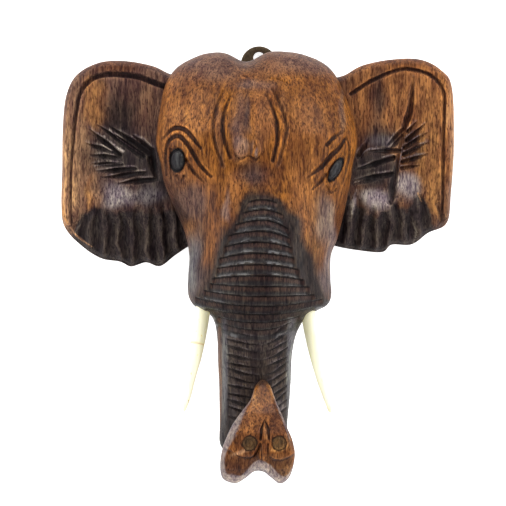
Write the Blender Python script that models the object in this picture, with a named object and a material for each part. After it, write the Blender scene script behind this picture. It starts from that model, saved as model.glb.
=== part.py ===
"""Carved wooden elephant head for a wall: head, ears and trunk of one piece, two tusks and a brass hanger.

Metres, +Z up. The wall is the plane Y = 0 and the face looks along -Y.
The origin is the middle of the hanging eye.
"""

import math

import bmesh
import bpy
import numpy as np
from mathutils import Matrix

# The wood. Its tables below are in parts of the carving's height, of which HEIGHT_PARTS make the whole.
CARVING_HEIGHT = 0.2265
HEIGHT_PARTS = 226.5
SHARE = CARVING_HEIGHT / HEIGHT_PARTS

# Tusks: round, let into sockets under the cheeks.
TUSK_DIAMETER = 0.0080
TUSK_LENGTH = 0.0660
TUSK_PEG = 0.0130
TUSK_CLEARANCE = 0.0003

# Hanger: a round brass plate with an eye, let into the back and held by two screws.
PLATE_DIAMETER = 0.0200
PLATE_THICKNESS = 0.0012
EYE_DIAMETER = 0.0062
EYE_RISE = 0.0037
SCREW_DIAMETER = 0.0022
SCREW_HEAD_DIAMETER = 0.0042
SCREW_HEAD_HEIGHT = 0.0006
SCREW_LENGTH = 0.0090
SCREW_SPACING = 0.0100
SCREW_DROP = 0.0055
FIT_CLEARANCE = 0.0003

# Nostrils: two shallow drilled bores in the end of the trunk.
NOSTRIL_DIAMETER = 0.0076
NOSTRIL_DEPTH = 0.0016

# Points of each form's even grid, and the triangles left in it once that grid is thinned.
HEAD_GRID = (330, 150, 20)
HEAD_TRIANGLES = 4550
EAR_GRID = (80, 250)
EAR_TRIANGLES = 1450
TIP_GRID = (44, 120)
TIP_TRIANGLES = 800
TUSK_GRID = (13, 10)
SOCKET_ROWS = 7

# Sides of the round brass parts and of the bores.
PLATE_SIDES = 36
EYE_SIDES = 24
SCREW_HEAD_SIDES = 12
SCREW_SIDES = 8
NOSTRIL_SIDES = 20

# Rows down the head and trunk: height, left edge, right edge, front, widest depth, back, front squareness.
HEAD_ROWS = (
    (2.3, -5.0, -5.0, 21.0, 21.0, 21.0, 2.0),
    (1.3, -24.0, 16.0, 31.0, 21.0, 10.0, 2.0),
    (-1.8, -35.2, 28.8, 37.5, 21.5, 4.0, 2.1),
    (-6.6, -43.5, 37.0, 42.5, 22.5, -1.0, 2.2),
    (-13.0, -48.8, 42.0, 46.5, 24.5, -3.5, 2.2),
    (-21.0, -51.6, 45.4, 50.5, 27.0, -4.0, 2.2),
    (-31.0, -53.2, 49.3, 54.0, 29.5, -4.0, 2.2),
    (-41.0, -54.8, 51.9, 56.5, 31.0, -4.0, 2.2),
    (-49.0, -55.1, 52.3, 58.0, 31.5, -4.0, 2.2),
    (-58.5, -52.9, 50.4, 59.5, 31.0, -4.0, 2.15),
    (-66.0, -51.7, 49.2, 60.5, 30.5, -4.0, 2.1),
    (-73.0, -49.6, 48.2, 61.5, 30.0, -4.0, 2.05),
    (-85.0, -44.6, 45.6, 63.5, 30.0, -4.0, 2.0),
    (-98.0, -39.4, 42.3, 65.5, 30.5, -4.0, 2.0),
    (-109.0, -37.4, 38.3, 66.5, 31.5, -4.0, 2.0),
    (-120.0, -38.0, 38.1, 67.0, 32.5, -4.0, 2.0),
    (-129.5, -37.8, 38.6, 66.5, 33.0, -4.0, 2.05),
    (-134.8, -35.2, 36.4, 66.0, 34.0, -3.0, 2.1),
    (-137.8, -30.2, 31.0, 65.5, 36.0, 3.0, 2.1),
    (-140.4, -26.0, 26.0, 65.0, 38.0, 11.0, 2.1),
    (-145.0, -23.4, 22.3, 64.0, 39.0, 16.0, 2.1),
    (-152.0, -22.4, 19.1, 62.5, 39.0, 18.0, 2.1),
    (-163.0, -22.0, 17.3, 60.0, 38.5, 18.5, 2.1),
    (-175.0, -21.5, 16.8, 58.0, 38.0, 18.5, 2.1),
    (-187.0, -21.1, 16.0, 57.0, 38.0, 19.0, 2.1),
    (-199.0, -21.1, 15.0, 57.0, 39.5, 21.5, 2.1),
    (-209.0, -20.5, 14.5, 58.0, 43.0, 28.0, 2.1),
    (-216.5, -13.5, 10.5, 58.0, 48.0, 38.0, 2.1),
    (-219.0, -1.5, -1.5, 52.0, 52.0, 52.0, 2.0),
)

# Each ring is squarer behind than in front, and the carving fades out just before its widest point.
# The rings are spaced evenly along the outline, in which the front and back count by these weights.
BACK_SQUARENESS = 4.0
FRONT_WEIGHT = 0.6
BACK_WEIGHT = 0.5
CARVING_FADE = 5.0

# Soft swellings and hollows of the head: across, height, half-width, half-height, rise.
HEAD_SWELLS = (
    (-5.5, -37.0, 10.5, 14.0, 2.6),
    (-6.4, -50.0, 8.0, 7.0, 2.6),
    (-5.5, -64.0, 10.0, 5.0, -2.0),
    (-10.0, -53.5, 3.2, 4.2, 1.6),
    (-1.8, -54.0, 2.4, 3.4, 1.4),
    (-5.4, -52.0, 1.4, 6.0, -1.4),
    (-7.6, -33.0, 2.2, 9.0, -0.9),
    (0.3, -106.0, 17.0, 30.0, 2.5),
    (-30.0, -44.0, 14.0, 7.0, 1.4),
    (28.0, -46.0, 14.0, 7.0, 1.4),
    (-33.0, -78.0, 10.0, 14.0, -1.6),
    (34.0, -82.0, 10.0, 14.0, -1.6),
)

# The cleft between the two domes: across, spread, fall, and how far down from the top it reaches.
CLEFT = (-7.0, 9.0, 6.2, 30.0)

# Eyes: across, height, half-width and half-height of the ball, and how far its long side leans over.
EYE_LEFT = (-43.4, -58.2, 3.6, 5.2, 0.0)
EYE_RIGHT = (40.4, -63.3, 2.7, 5.4, 0.45)

# The ball's rise, and the ring-shaped cut round it: middle and half-width as shares of the ball, and depth.
EYE_BALL_RISE = 1.1
EYE_RING_MIDDLE = 1.12
EYE_RING_HALF = 0.34
EYE_RING_DEPTH = 1.3

# Cuts round the eyes and the medallion: points along the cut, widths at its ends, depth.
FACE_CUTS = (
    (((-51.0, -46.8), (-47.0, -42.6), (-43.4, -41.2), (-38.8, -42.6), (-34.8, -46.8), (-30.8, -52.2)),
     1.8, 2.8, 1.5),
    (((-49.4, -65.6), (-49.8, -56.4), (-48.2, -48.4), (-43.0, -45.4), (-38.8, -48.8), (-34.8, -55.0),
      (-30.8, -61.6), (-25.4, -67.2)), 2.0, 2.6, 1.5),
    (((-38.6, -58.4), (-34.8, -64.4), (-28.8, -70.6)), 2.4, 1.8, 1.2),
    (((-47.0, -52.0), (-47.0, -69.4)), 1.8, 1.6, 0.9),
    (((35.6, -50.4), (39.6, -46.2), (44.6, -43.0)), 2.4, 1.8, 1.2),
    (((25.2, -67.8), (33.0, -61.8), (37.6, -56.2), (42.2, -52.0), (45.4, -47.0)), 2.0, 2.8, 1.5),
    (((27.8, -73.8), (32.6, -69.4), (35.2, -65.8)), 1.8, 2.4, 1.2),
    (((46.2, -45.8), (48.0, -53.0), (46.4, -62.0), (44.0, -70.4)), 1.8, 2.0, 1.1),
    (((-13.6, -53.6), (-10.4, -58.2), (-5.6, -56.4), (-1.6, -58.4), (1.8, -54.4)), 1.8, 1.8, 0.9),
    (((-15.2, -25.0), (-17.6, -31.0), (-19.2, -38.0), (-18.8, -45.4), (-17.0, -52.2), (-15.0, -57.4)),
     2.0, 2.8, 1.4),
    (((-18.8, -22.0), (-22.0, -28.8), (-24.0, -37.6), (-24.0, -45.4), (-22.0, -54.2), (-18.8, -62.0)),
     2.0, 2.4, 1.1),
    (((4.0, -24.6), (6.4, -30.2), (8.8, -37.0), (9.4, -42.2), (9.2, -49.4), (7.2, -59.0)), 2.0, 2.8, 1.4),
    (((6.8, -21.0), (10.4, -27.8), (12.8, -34.2), (14.4, -41.4), (13.2, -49.4), (10.0, -61.0)),
     2.0, 2.4, 1.1),
)

# Gouged steps across the trunk, each a wall and a scooped floor that comes back out below it:
# height of the wall in the middle, left end, right end, fall to the left end, fall to the right end.
TRUNK_STEPS = (
    (-79.6, -6.0, 9.5, 1.6, 1.8),
    (-84.9, -8.5, 12.5, 1.8, 2.8),
    (-90.4, -12.5, 15.2, 2.4, 4.6),
    (-96.1, -16.0, 16.0, 2.4, 3.8),
    (-101.8, -18.4, 17.0, 2.5, 3.0),
    (-107.6, -21.0, 18.4, 2.8, 2.6),
    (-113.5, -22.6, 20.6, 2.0, 2.7),
    (-119.2, -24.6, 23.6, 1.6, 2.4),
    (-124.8, -26.4, 26.6, -1.4, 0.4),
    (-129.9, -29.4, 29.4, -3.0, -0.6),
    (-135.0, -34.0, 33.6, -4.2, -3.4),
    (-139.4, -29.0, 30.0, -3.0, -3.4),
    (-143.6, -23.0, 22.6, -3.0, -3.6),
    (-147.6, -19.4, 18.4, -3.4, -5.0),
)
STEP_WALL = 1.2
STEP_RUN = 4.9
STEP_DEPTH = 1.4
STEP_END = 1.2

# Strokes below the steps that rise from the trunk's middle to either side.
CHEVRON_TOP = -151.5
CHEVRON_BOTTOM = -196.0
CHEVRON_COUNT = 12
CHEVRON_MIDDLE = 1.6
CHEVRON_REACH = (-17.4, 15.2)
CHEVRON_RISE = (3.2, 6.6)
CHEVRON_NARROWING = 0.08
CHEVRON_WIDTHS = (1.6, 2.2)
CHEVRON_DEPTH = 1.1
CHEVRON_LEAN = 0.3

# Ears: outline points from the top of the joint round to the bottom of it, across and height.
EAR_LEFT_EDGE = (
    (-24.0, -8.0), (-40.0, -10.0), (-47.5, -10.4), (-58.0, -5.8), (-73.0, -3.2), (-86.5, -4.2),
    (-98.2, -10.6), (-104.0, -21.4), (-106.0, -38.0), (-106.4, -62.0), (-106.8, -81.0), (-105.4, -92.6),
    (-98.2, -101.6), (-86.6, -109.8), (-75.5, -112.0), (-69.5, -114.6), (-61.5, -112.4), (-53.8, -114.4),
    (-46.0, -108.8), (-38.0, -103.5), (-24.0, -96.0),
)
EAR_RIGHT_EDGE = (
    (22.0, -8.0), (36.0, -12.0), (45.4, -11.2), (56.0, -5.6), (72.0, -2.4), (87.4, -2.6), (98.4, -8.4),
    (104.2, -18.0), (105.3, -48.0), (103.6, -76.0), (101.4, -91.2), (91.6, -96.4), (82.8, -102.6),
    (72.0, -102.8), (66.8, -106.8), (54.0, -105.8), (42.0, -103.6), (32.0, -100.0), (22.0, -94.0),
)
EAR_CENTRE_LEFT = (-70.0, -56.0)
EAR_CENTRE_RIGHT = (68.0, -54.0)
EAR_FRONT = 23.0
EAR_BACK = 11.0
EAR_RIM_ROUND = 2.6
EAR_RIM_START = 0.93
EAR_FACE_SHARE = 0.985
EAR_TURN = ((1.0, 0.30), (1.0, 0.75), (0.985, 1.0), (0.9, 1.0), (0.6, 1.0), (0.25, 1.0))
EAR_BACK_ROUND = 2.0
EAR_BACK_START = 0.6
EAR_CUT_LEAN = 0.3

# The ears sweep forward to their rims, are dished in the middle, swell above the flutes and fall away below.
EAR_SWEEP = 4.0
EAR_SWEEP_SPAN = (50.0, 105.0)
EAR_SWELLS = (
    (78.0, -58.0, 18.0, 30.0, -3.4),
    (72.0, -82.5, 22.0, 8.0, 3.2),
)
EAR_FALL = 4.0
EAR_FALL_POWER = 1.3
EAR_FALL_SPAN = (-82.0, -112.0)

# Cuts on the ears: points along the cut, widths at its ends, depth.
EAR_LEFT_CUTS = (
    (((-51.0, -17.2), (-57.0, -15.0), (-65.0, -12.2), (-74.0, -11.0), (-82.0, -10.9), (-88.6, -12.6),
      (-93.4, -16.2), (-96.9, -22.0), (-98.6, -31.0), (-100.1, -44.0), (-101.3, -59.0), (-101.6, -75.0),
      (-101.2, -91.0)), 3.8, 2.2, 1.5),
    (((-58.6, -52.4), (-57.0, -60.2), (-55.0, -67.6)), 5.4, 3.2, 2.4),
    (((-68.0, -43.8), (-58.6, -52.0)), 2.2, 3.6, 2.0),
    (((-80.0, -39.2), (-59.4, -53.6)), 1.6, 4.0, 2.2),
    (((-87.0, -38.4), (-62.8, -54.8)), 1.4, 3.8, 2.0),
    (((-91.8, -40.4), (-75.6, -54.4)), 1.4, 3.0, 1.7),
    (((-94.0, -48.0), (-79.4, -53.0)), 1.4, 2.8, 1.6),
    (((-91.8, -54.4), (-75.6, -56.0)), 1.4, 2.8, 1.6),
    (((-90.0, -59.2), (-74.4, -59.6)), 1.2, 2.8, 1.6),
    (((-88.0, -63.4), (-67.0, -62.0)), 1.2, 3.2, 1.8),
    (((-85.0, -66.8), (-61.6, -64.2)), 1.2, 3.4, 1.9),
    (((-76.4, -69.8), (-55.6, -67.6)), 1.2, 3.4, 1.9),
)
EAR_RIGHT_CUTS = (
    (((49.8, -21.4), (55.0, -18.0), (62.0, -13.8), (70.0, -10.2), (77.6, -8.3), (84.8, -8.8),
      (91.6, -11.3), (96.6, -15.6), (99.5, -21.6), (99.6, -29.0), (99.2, -42.0), (99.0, -57.0),
      (98.8, -72.0), (98.0, -90.0)), 3.0, 2.2, 1.4),
    (((83.2, -12.4), (81.4, -29.4), (78.6, -38.4)), 1.6, 4.6, 1.7),
    (((78.6, -38.4), (75.8, -49.8), (74.6, -60.4)), 4.4, 2.2, 1.7),
    (((74.6, -60.4), (73.2, -66.2), (70.6, -79.4)), 2.4, 5.0, 1.8),
    (((80.6, -41.6), (84.8, -36.6)), 2.4, 1.2, 1.6),
    (((80.0, -46.4), (89.4, -37.8)), 2.8, 1.2, 1.8),
    (((79.0, -50.2), (90.6, -42.6)), 2.8, 1.2, 1.8),
    (((78.6, -54.0), (91.2, -47.8)), 2.8, 1.2, 1.8),
    (((77.8, -58.2), (91.0, -54.2)), 2.8, 1.2, 1.8),
    (((77.4, -61.6), (86.4, -60.2)), 2.6, 1.2, 1.6),
    (((69.0, -49.4), (77.8, -41.0)), 1.4, 3.0, 1.9),
    (((70.4, -51.8), (77.4, -44.0)), 1.2, 2.8, 1.8),
    (((59.0, -52.4), (75.8, -52.0)), 1.4, 3.2, 1.9),
    (((52.0, -62.6), (72.8, -56.0)), 1.4, 3.4, 2.0),
    (((51.2, -68.2), (72.2, -64.8)), 1.4, 3.4, 1.9),
    (((50.6, -70.4), (67.0, -66.4)), 1.2, 2.8, 1.5),
    (((53.8, -54.8), (59.0, -45.4)), 3.4, 1.4, 1.6),
)

# The gouge enters each flute at a share of its depth and reaches all of it over a share of its length.
FLUTE_START = 0.25
FLUTE_ENTRY = 0.45

# Gouged flutes along the lower edge of each ear: top point, bottom point, widths there, depth there.
EAR_LEFT_FLUTES = (
    ((-97.0, -90.0), (-108.0, -100.0), 3.0, 9.0, 1.7),
    ((-92.4, -86.0), (-98.0, -110.0), 4.5, 9.0, 2.0),
    ((-86.4, -80.0), (-88.0, -117.0), 3.0, 9.5, 2.3),
    ((-80.0, -85.5), (-79.0, -120.0), 4.5, 8.5, 2.4),
    ((-73.0, -85.0), (-71.4, -124.0), 4.5, 8.0, 2.6),
    ((-65.6, -84.0), (-63.0, -122.0), 4.5, 8.6, 2.7),
    ((-57.6, -84.5), (-55.0, -122.0), 4.5, 8.4, 2.7),
    ((-50.4, -84.0), (-47.0, -118.0), 4.5, 8.4, 2.5),
    ((-44.0, -83.0), (-38.0, -112.0), 4.5, 8.4, 2.3),
)
EAR_RIGHT_FLUTES = (
    ((46.0, -83.0), (41.0, -112.0), 4.5, 8.4, 2.3),
    ((53.8, -80.0), (50.0, -114.0), 4.0, 8.4, 2.5),
    ((60.8, -84.0), (58.0, -116.0), 4.5, 8.4, 2.6),
    ((67.2, -86.0), (66.4, -116.0), 4.5, 8.4, 2.5),
    ((73.6, -80.4), (75.0, -114.0), 4.0, 8.4, 2.4),
    ((80.4, -85.4), (83.4, -112.0), 4.5, 8.0, 2.2),
    ((87.4, -76.4), (91.6, -108.0), 3.0, 8.4, 2.1),
    ((96.4, -81.0), (100.6, -100.0), 2.6, 7.4, 1.6),
)

# End of the trunk: outline seen from the front, from its peak round to the left, and its face's depths.
TIP_EDGE = (
    (1.4, -173.4), (-2.0, -176.7), (-4.6, -183.4), (-9.5, -189.8), (-13.6, -195.5), (-16.8, -201.9),
    (-19.2, -208.5), (-20.3, -216.5), (-18.9, -223.8), (-12.6, -226.4), (-7.4, -223.8), (-2.8, -220.4),
    (2.2, -220.4), (6.0, -223.4), (11.0, -226.6), (15.9, -222.2), (18.3, -212.0), (17.1, -203.9),
    (14.6, -198.0), (11.6, -190.8), (8.3, -183.4), (5.4, -176.2),
)
TIP_CENTRE = (0.0, -204.0)
TIP_FACE = (
    (-172.0, 61.5), (-180.0, 67.0), (-190.0, 74.0), (-200.0, 79.5), (-210.0, 82.0), (-218.0, 81.0),
    (-228.0, 76.0),
)
TIP_ROOT = 44.0
TIP_SIDES = ((0.60, 0.0), (0.76, 0.22), (0.89, 0.46), (0.965, 0.66), (0.995, 0.80), (1.0, 0.88))

# The rim of that face is rounded, wider low down: height and width of the rounding, above and below.
TIP_EASE_ABOVE = (-212.0, 3.2)
TIP_EASE_BELOW = (-219.0, 6.0)
TIP_CUTS = (
    (((2.6, -193.2), (1.2, -197.6), (0.6, -203.0)), 0.8, 2.0, 1.4),
    (((2.6, -193.2), (4.4, -197.6), (4.8, -202.6)), 0.8, 2.0, 1.4),
    (((-14.3, -208.6), (-11.6, -211.0), (-7.7, -212.5), (-3.4, -211.8), (-1.4, -208.6), (0.4, -205.1)),
     1.0, 1.8, 0.9),
    (((18.0, -210.4), (15.1, -212.2), (11.2, -213.7), (8.0, -213.4), (5.2, -211.8)), 1.2, 1.8, 0.9),
)
TIP_NOTCH = (0.6, -219.5, 6.0, 5.4, -4.0)

# Below a ledge under the nostrils the face steps back, but for a column in its middle.
TIP_LEDGE = (
    (-19.0, -206.0), (-14.3, -208.6), (-11.6, -211.0), (-7.7, -212.5), (-3.4, -211.8), (-1.4, -208.6),
    (0.4, -205.1), (4.8, -208.0), (5.2, -211.8), (8.0, -213.4), (11.2, -213.7), (15.1, -212.2),
    (19.0, -209.6),
)
TIP_LEDGE_FALL = 1.7
TIP_LEDGE_WALL = 1.0
TIP_COLUMN_MIDDLE = 2.6
TIP_COLUMN_HALF = 2.0

NOSTRIL_LEFT = (-5.1, -204.9)
NOSTRIL_RIGHT = (10.1, -204.9)

# Tusk middles, as shares of the tusk's length from the root of its peg: across, depth, height.
TUSK_LEFT_LINE = (
    (-28.4, 41.0, -126.5), (-30.2, 42.0, -140.0), (-32.2, 43.5, -152.0), (-34.4, 45.5, -163.5),
    (-36.4, 47.5, -173.5), (-38.0, 49.0, -184.0), (-40.2, 50.0, -192.4),
)
TUSK_RIGHT_LINE = (
    (24.6, 41.0, -127.5), (26.6, 42.0, -142.5), (28.6, 43.5, -153.0), (31.2, 45.5, -165.0),
    (33.6, 47.5, -176.0), (35.6, 49.0, -184.5), (38.0, 50.0, -193.4),
)
TUSK_TAPER = (0.92, 0.97, 1.00, 0.92, 0.72, 0.48, 0.24)

WOOD_COLOUR = (0.200, 0.095, 0.045, 1.0)
TUSK_COLOUR = (0.860, 0.800, 0.560, 1.0)
BRASS_COLOUR = (0.260, 0.190, 0.110, 1.0)
WOOD_ROUGHNESS = 0.45
TUSK_ROUGHNESS = 0.35
BRASS_ROUGHNESS = 0.40


def material(name, colour, roughness, metallic):
    """A plain finish with the part's colour, roughness and metallic value."""
    made = bpy.data.materials.new(name)
    made.use_nodes = True
    shader = made.node_tree.nodes["Principled BSDF"]
    shader.inputs["Base Color"].default_value = colour
    shader.inputs["Roughness"].default_value = roughness
    shader.inputs["Metallic"].default_value = metallic
    return made


def along(rows, places):
    """A smooth curve through equally spaced rows, read at places from 0 to 1."""
    rows = np.asarray(rows, float)
    if rows.ndim == 1:
        rows = rows[:, None]
    slopes = np.gradient(rows, axis=0)
    spot = np.clip(np.asarray(places, float), 0.0, 1.0) * (len(rows) - 1)
    low = np.minimum(spot.astype(int), len(rows) - 2)
    part = (spot - low)[:, None]
    rise = rows[low + 1] - rows[low]
    curve = rows[low] + part * slopes[low]
    curve += part**2 * (3 * rise - 2 * slopes[low] - slopes[low + 1])
    curve += part**3 * (slopes[low] + slopes[low + 1] - 2 * rise)
    return curve


def round_loop(points, count):
    """A smooth closed curve through the points, cut into equal lengths from the first one."""
    points = np.asarray(points, float)
    wrapped = np.vstack([points[-2:], points, points[:3]])
    first = 2 / (len(wrapped) - 1)
    last = (2 + len(points)) / (len(wrapped) - 1)
    dense = along(wrapped, np.linspace(first, last, 60 * len(points)))
    steps = np.linalg.norm(np.diff(dense, axis=0), axis=1)
    length = np.concatenate([[0.0], np.cumsum(steps)])
    even = np.linspace(0.0, length[-1], count, endpoint=False)
    return np.stack([np.interp(even, length, dense[:, k]) for k in range(2)], axis=1)


def cut_depth(cuts, across, height, lean=0.5):
    """Depth of chisel cuts: none at either edge, full at the lean's share of the width."""
    deepest = np.zeros_like(across)
    for points, width_start, width_end, depth in cuts:
        line = np.asarray(points, float)
        if len(points) > 2:
            line = along(points, np.linspace(0.0, 1.0, 4 * len(points) - 3))
        steps = np.linalg.norm(np.diff(line, axis=0), axis=1)
        run = np.concatenate([[0.0], np.cumsum(steps)]) / steps.sum()
        widths = width_start + (width_end - width_start) * run
        for k in range(len(line) - 1):
            start = line[k]
            step = line[k + 1] - start
            place = ((across - start[0]) * step[0] + (height - start[1]) * step[1]) / (step @ step)
            place = np.clip(place, 0.0, 1.0)
            gap = np.hypot(across - start[0] - place * step[0], height - start[1] - place * step[1])
            hand = np.sign((across - start[0]) * step[1] - (height - start[1]) * step[0])
            width = widths[k] + (widths[k + 1] - widths[k]) * place
            spot = 0.5 + hand * gap / width
            side = np.clip(np.minimum(spot / lean, (1.0 - spot) / (1.0 - lean)), 0.0, 1.0)
            deepest = np.maximum(deepest, depth * width / max(width_start, width_end) * side)
    return deepest


def flute_depth(flutes, across, height):
    """Depth of round-bottomed channels that widen and deepen from their top to the ear's lower edge."""
    deepest = np.zeros_like(across)
    for top, bottom, width_top, width_bottom, depth in flutes:
        step = np.subtract(bottom, top)
        place = ((across - top[0]) * step[0] + (height - top[1]) * step[1]) / (step @ step)
        held = np.clip(place, 0.0, 1.0)
        gap = np.hypot(across - top[0] - held * step[0], height - top[1] - held * step[1])
        width = width_top + (width_bottom - width_top) * held
        bowl = np.clip(1.0 - (2.0 * gap / width) ** 2, 0.0, 1.0)
        start = 1.0 - (1.0 - np.clip(place / FLUTE_ENTRY + FLUTE_START, 0.0, 1.0)) ** 2
        deepest = np.maximum(deepest, depth * start * bowl)
    return deepest


def swell(swells, across, height):
    """Sum of soft round swellings, each a bell over its own half-width and half-height."""
    total = np.zeros_like(across)
    for middle, level, half_width, half_height, rise in swells:
        far = ((across - middle) / half_width) ** 2 + ((height - level) / half_height) ** 2
        total += rise * np.exp(-far)
    return total


def step_depth(across, height):
    """Depth of the gouged steps: a wall down from each curved line, then a floor that is scooped back out."""
    deepest = np.zeros_like(across)
    for level, left, right, fall_left, fall_right in TRUNK_STEPS:
        share = (across - (left + right) / 2) / ((right - left) / 2)
        drop = level - share**2 * np.where(share < 0, fall_left, fall_right) - height
        inside = np.clip((1.0 - np.abs(share)) * (right - left) / 2 / STEP_END, 0.0, 1.0)
        wall = np.clip(drop / STEP_WALL + 1.0, 0.0, 1.0)
        floor = 1.0 - np.clip(drop / STEP_RUN, 0.0, 1.0) ** 2
        deepest = np.maximum(deepest, STEP_DEPTH * inside * wall * floor)
    return deepest


def chevron_cuts():
    """Strokes that rise from the trunk's middle to either side, evenly spaced down it."""
    cuts = []
    for place in np.linspace(0.0, 1.0, CHEVRON_COUNT):
        level = CHEVRON_TOP + (CHEVRON_BOTTOM - CHEVRON_TOP) * place
        for reach, rise in zip(CHEVRON_REACH, CHEVRON_RISE):
            end = CHEVRON_MIDDLE + (reach - CHEVRON_MIDDLE) * (1.0 - CHEVRON_NARROWING * place)
            cuts.append((((CHEVRON_MIDDLE, level), (end, level + rise)), *CHEVRON_WIDTHS, CHEVRON_DEPTH))
    return tuple(cuts)


def eye_rise(eye, across, height):
    """A ball that stands in a ring-shaped cut, both over an oval that may lean."""
    middle, level, half_width, half_height, lean = eye
    side = (across - middle - lean * (height - level)) / half_width
    ring = np.hypot(side, (height - level) / half_height)
    ball = EYE_BALL_RISE * np.sqrt(np.clip(1.0 - ring**2, 0.0, 1.0))
    cut = EYE_RING_DEPTH * np.clip(1.0 - np.abs(ring - EYE_RING_MIDDLE) / EYE_RING_HALF, 0.0, 1.0)
    return ball - cut


def head_form(row_count, front_count, back_count):
    """Rings down the head and trunk, round in front and squarer behind, with the carving on their fronts."""
    dense = along(HEAD_ROWS, np.linspace(0.0, 1.0, 2000))
    half_widths = (dense[:, 2] - dense[:, 1]) / 2
    depths = (dense[:, 3] * FRONT_WEIGHT, dense[:, 5] * BACK_WEIGHT)
    spans = np.stack([dense[:, 0], half_widths, *depths], axis=1)
    length = np.concatenate([[0.0], np.cumsum(np.linalg.norm(np.diff(spans, axis=0), axis=1))])
    even = np.linspace(0.0, length[-1], row_count + 2)[1:-1]
    rows = np.stack([np.interp(even, length, dense[:, k]) for k in range(7)], axis=1)
    front = np.linspace(0.0, math.pi, front_count, endpoint=False)
    behind = np.linspace(math.pi, 2 * math.pi, back_count, endpoint=False)
    angle = np.concatenate([front, behind])[None, :]
    height, left, right, depth, widest, back, square = (rows[:, k : k + 1] for k in range(7))
    cosine, sine = np.cos(angle), np.sin(angle)
    power = np.where(sine >= 0, 2.0 / square, 2.0 / BACK_SQUARENESS)
    across = (left + right) / 2 + (right - left) / 2 * np.sign(cosine) * np.abs(cosine) ** power
    reach = np.where(sine >= 0, depth - widest, widest - back)
    out = widest + reach * np.sign(sine) * np.abs(sine) ** power
    level = np.broadcast_to(height, across.shape)
    ring_points = np.stack([across, -out, level], axis=2)

    middle, spread, fall, reach_down = CLEFT
    top_share = np.clip((level + reach_down) / reach_down, 0.0, 1.0) ** 2
    valley = fall * np.exp(-(((across - middle) / spread) ** 2)) * top_share
    ring_points[:, :, 2] -= valley

    down = np.gradient(ring_points, axis=0)
    turn = (np.roll(ring_points, -1, axis=1) - np.roll(ring_points, 1, axis=1)) / 2
    normal = np.cross(turn, down)
    normal /= np.maximum(np.linalg.norm(normal, axis=2, keepdims=True), 1e-9)
    facing = np.clip((out - widest) / CARVING_FADE, 0.0, 1.0)
    seen = ring_points[:, :, 2]
    chevrons = cut_depth(chevron_cuts(), across, seen, CHEVRON_LEAN)
    strokes = np.maximum(cut_depth(FACE_CUTS, across, seen), chevrons)
    relief = swell(HEAD_SWELLS, across, seen) - np.maximum(strokes, step_depth(across, seen))
    relief += eye_rise(EYE_LEFT, across, seen) + eye_rise(EYE_RIGHT, across, seen)
    outward = np.sign(np.sum(normal * (ring_points - np.array([0.0, -30.0, -90.0])), axis=2).mean())
    return ring_points + normal * outward * (relief * facing)[:, :, None]


def ear_form(edge, centre, cuts, flutes, ring_count, column_count):
    """Rings over a dished plate: out over its front, round its rim and back in behind."""
    rim = round_loop(edge, column_count)
    share = np.concatenate([np.linspace(0.02, EAR_FACE_SHARE, ring_count), [turn[0] for turn in EAR_TURN]])
    turned = np.concatenate([np.zeros(ring_count), [turn[1] for turn in EAR_TURN]])
    across = centre[0] + share[:, None] * (rim[None, :, 0] - centre[0])
    height = centre[1] + share[:, None] * (rim[None, :, 1] - centre[1])
    root, end = EAR_SWEEP_SPAN
    sweep = EAR_SWEEP * np.clip((np.abs(across) - root) / (end - root), 0.0, 1.0) ** 2
    dish = swell(EAR_SWELLS, np.abs(across), height)
    top, bottom = EAR_FALL_SPAN
    fall = EAR_FALL * np.clip((top - height) / (top - bottom), 0.0, 1.0) ** EAR_FALL_POWER
    carving = np.maximum(cut_depth(cuts, across, height, EAR_CUT_LEAN), flute_depth(flutes, across, height))
    front = EAR_FRONT + sweep + dish - fall - carving
    rim_share = (share[:, None] - EAR_RIM_START) / (EAR_FACE_SHARE - EAR_RIM_START)
    back_share = (share[:, None] - EAR_BACK_START) / (1.0 - EAR_BACK_START)
    rounding = EAR_RIM_ROUND * np.clip(rim_share, 0.0, 1.0) ** 2
    behind = EAR_BACK + sweep + EAR_BACK_ROUND * np.clip(back_share, 0.0, 1.0) ** 2
    depth = front - rounding
    depth = depth + (behind - depth) * turned[:, None]
    return np.stack([across, -depth, height], axis=2)


def tip_face(height):
    """Depth of the trunk end's face at a height."""
    levels, depths = zip(*TIP_FACE[::-1])
    return np.interp(height, levels, depths)


def tip_form(face_count, column_count):
    """Rings of the trunk's end: out from inside the trunk along its sides, over its edge and in again."""
    rim = round_loop(TIP_EDGE, column_count)
    share = np.concatenate([[side[0] for side in TIP_SIDES], np.linspace(0.99, 0.03, face_count)])[:, None]
    reach = np.concatenate([[side[1] for side in TIP_SIDES], np.ones(face_count)])[:, None]
    across = TIP_CENTRE[0] + share * (rim[None, :, 0] - TIP_CENTRE[0])
    height = TIP_CENTRE[1] + share * (rim[None, :, 1] - TIP_CENTRE[1])
    face = tip_face(height) + swell((TIP_NOTCH,), across, height) - cut_depth(TIP_CUTS, across, height)
    lower = np.clip((np.interp(across, *zip(*TIP_LEDGE)) - height) / TIP_LEDGE_WALL, 0.0, 1.0)
    beside = np.clip((np.abs(across - TIP_COLUMN_MIDDLE) - TIP_COLUMN_HALF) / TIP_LEDGE_WALL, 0.0, 1.0)
    face -= TIP_LEDGE_FALL * lower * beside
    inward = (1.0 - share) * np.hypot(rim[:, 0] - TIP_CENTRE[0], rim[:, 1] - TIP_CENTRE[1])
    levels, widths = zip(TIP_EASE_BELOW, TIP_EASE_ABOVE)
    ease = np.interp(height, levels, widths)
    near = np.clip(1.0 - inward / ease, 0.0, 1.0)
    face -= ease * (1.0 - np.sqrt(1.0 - near**2)) * (reach == 1.0)
    depth = TIP_ROOT + (face - TIP_ROOT) * reach
    return np.stack([across, -depth, height], axis=2)


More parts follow.
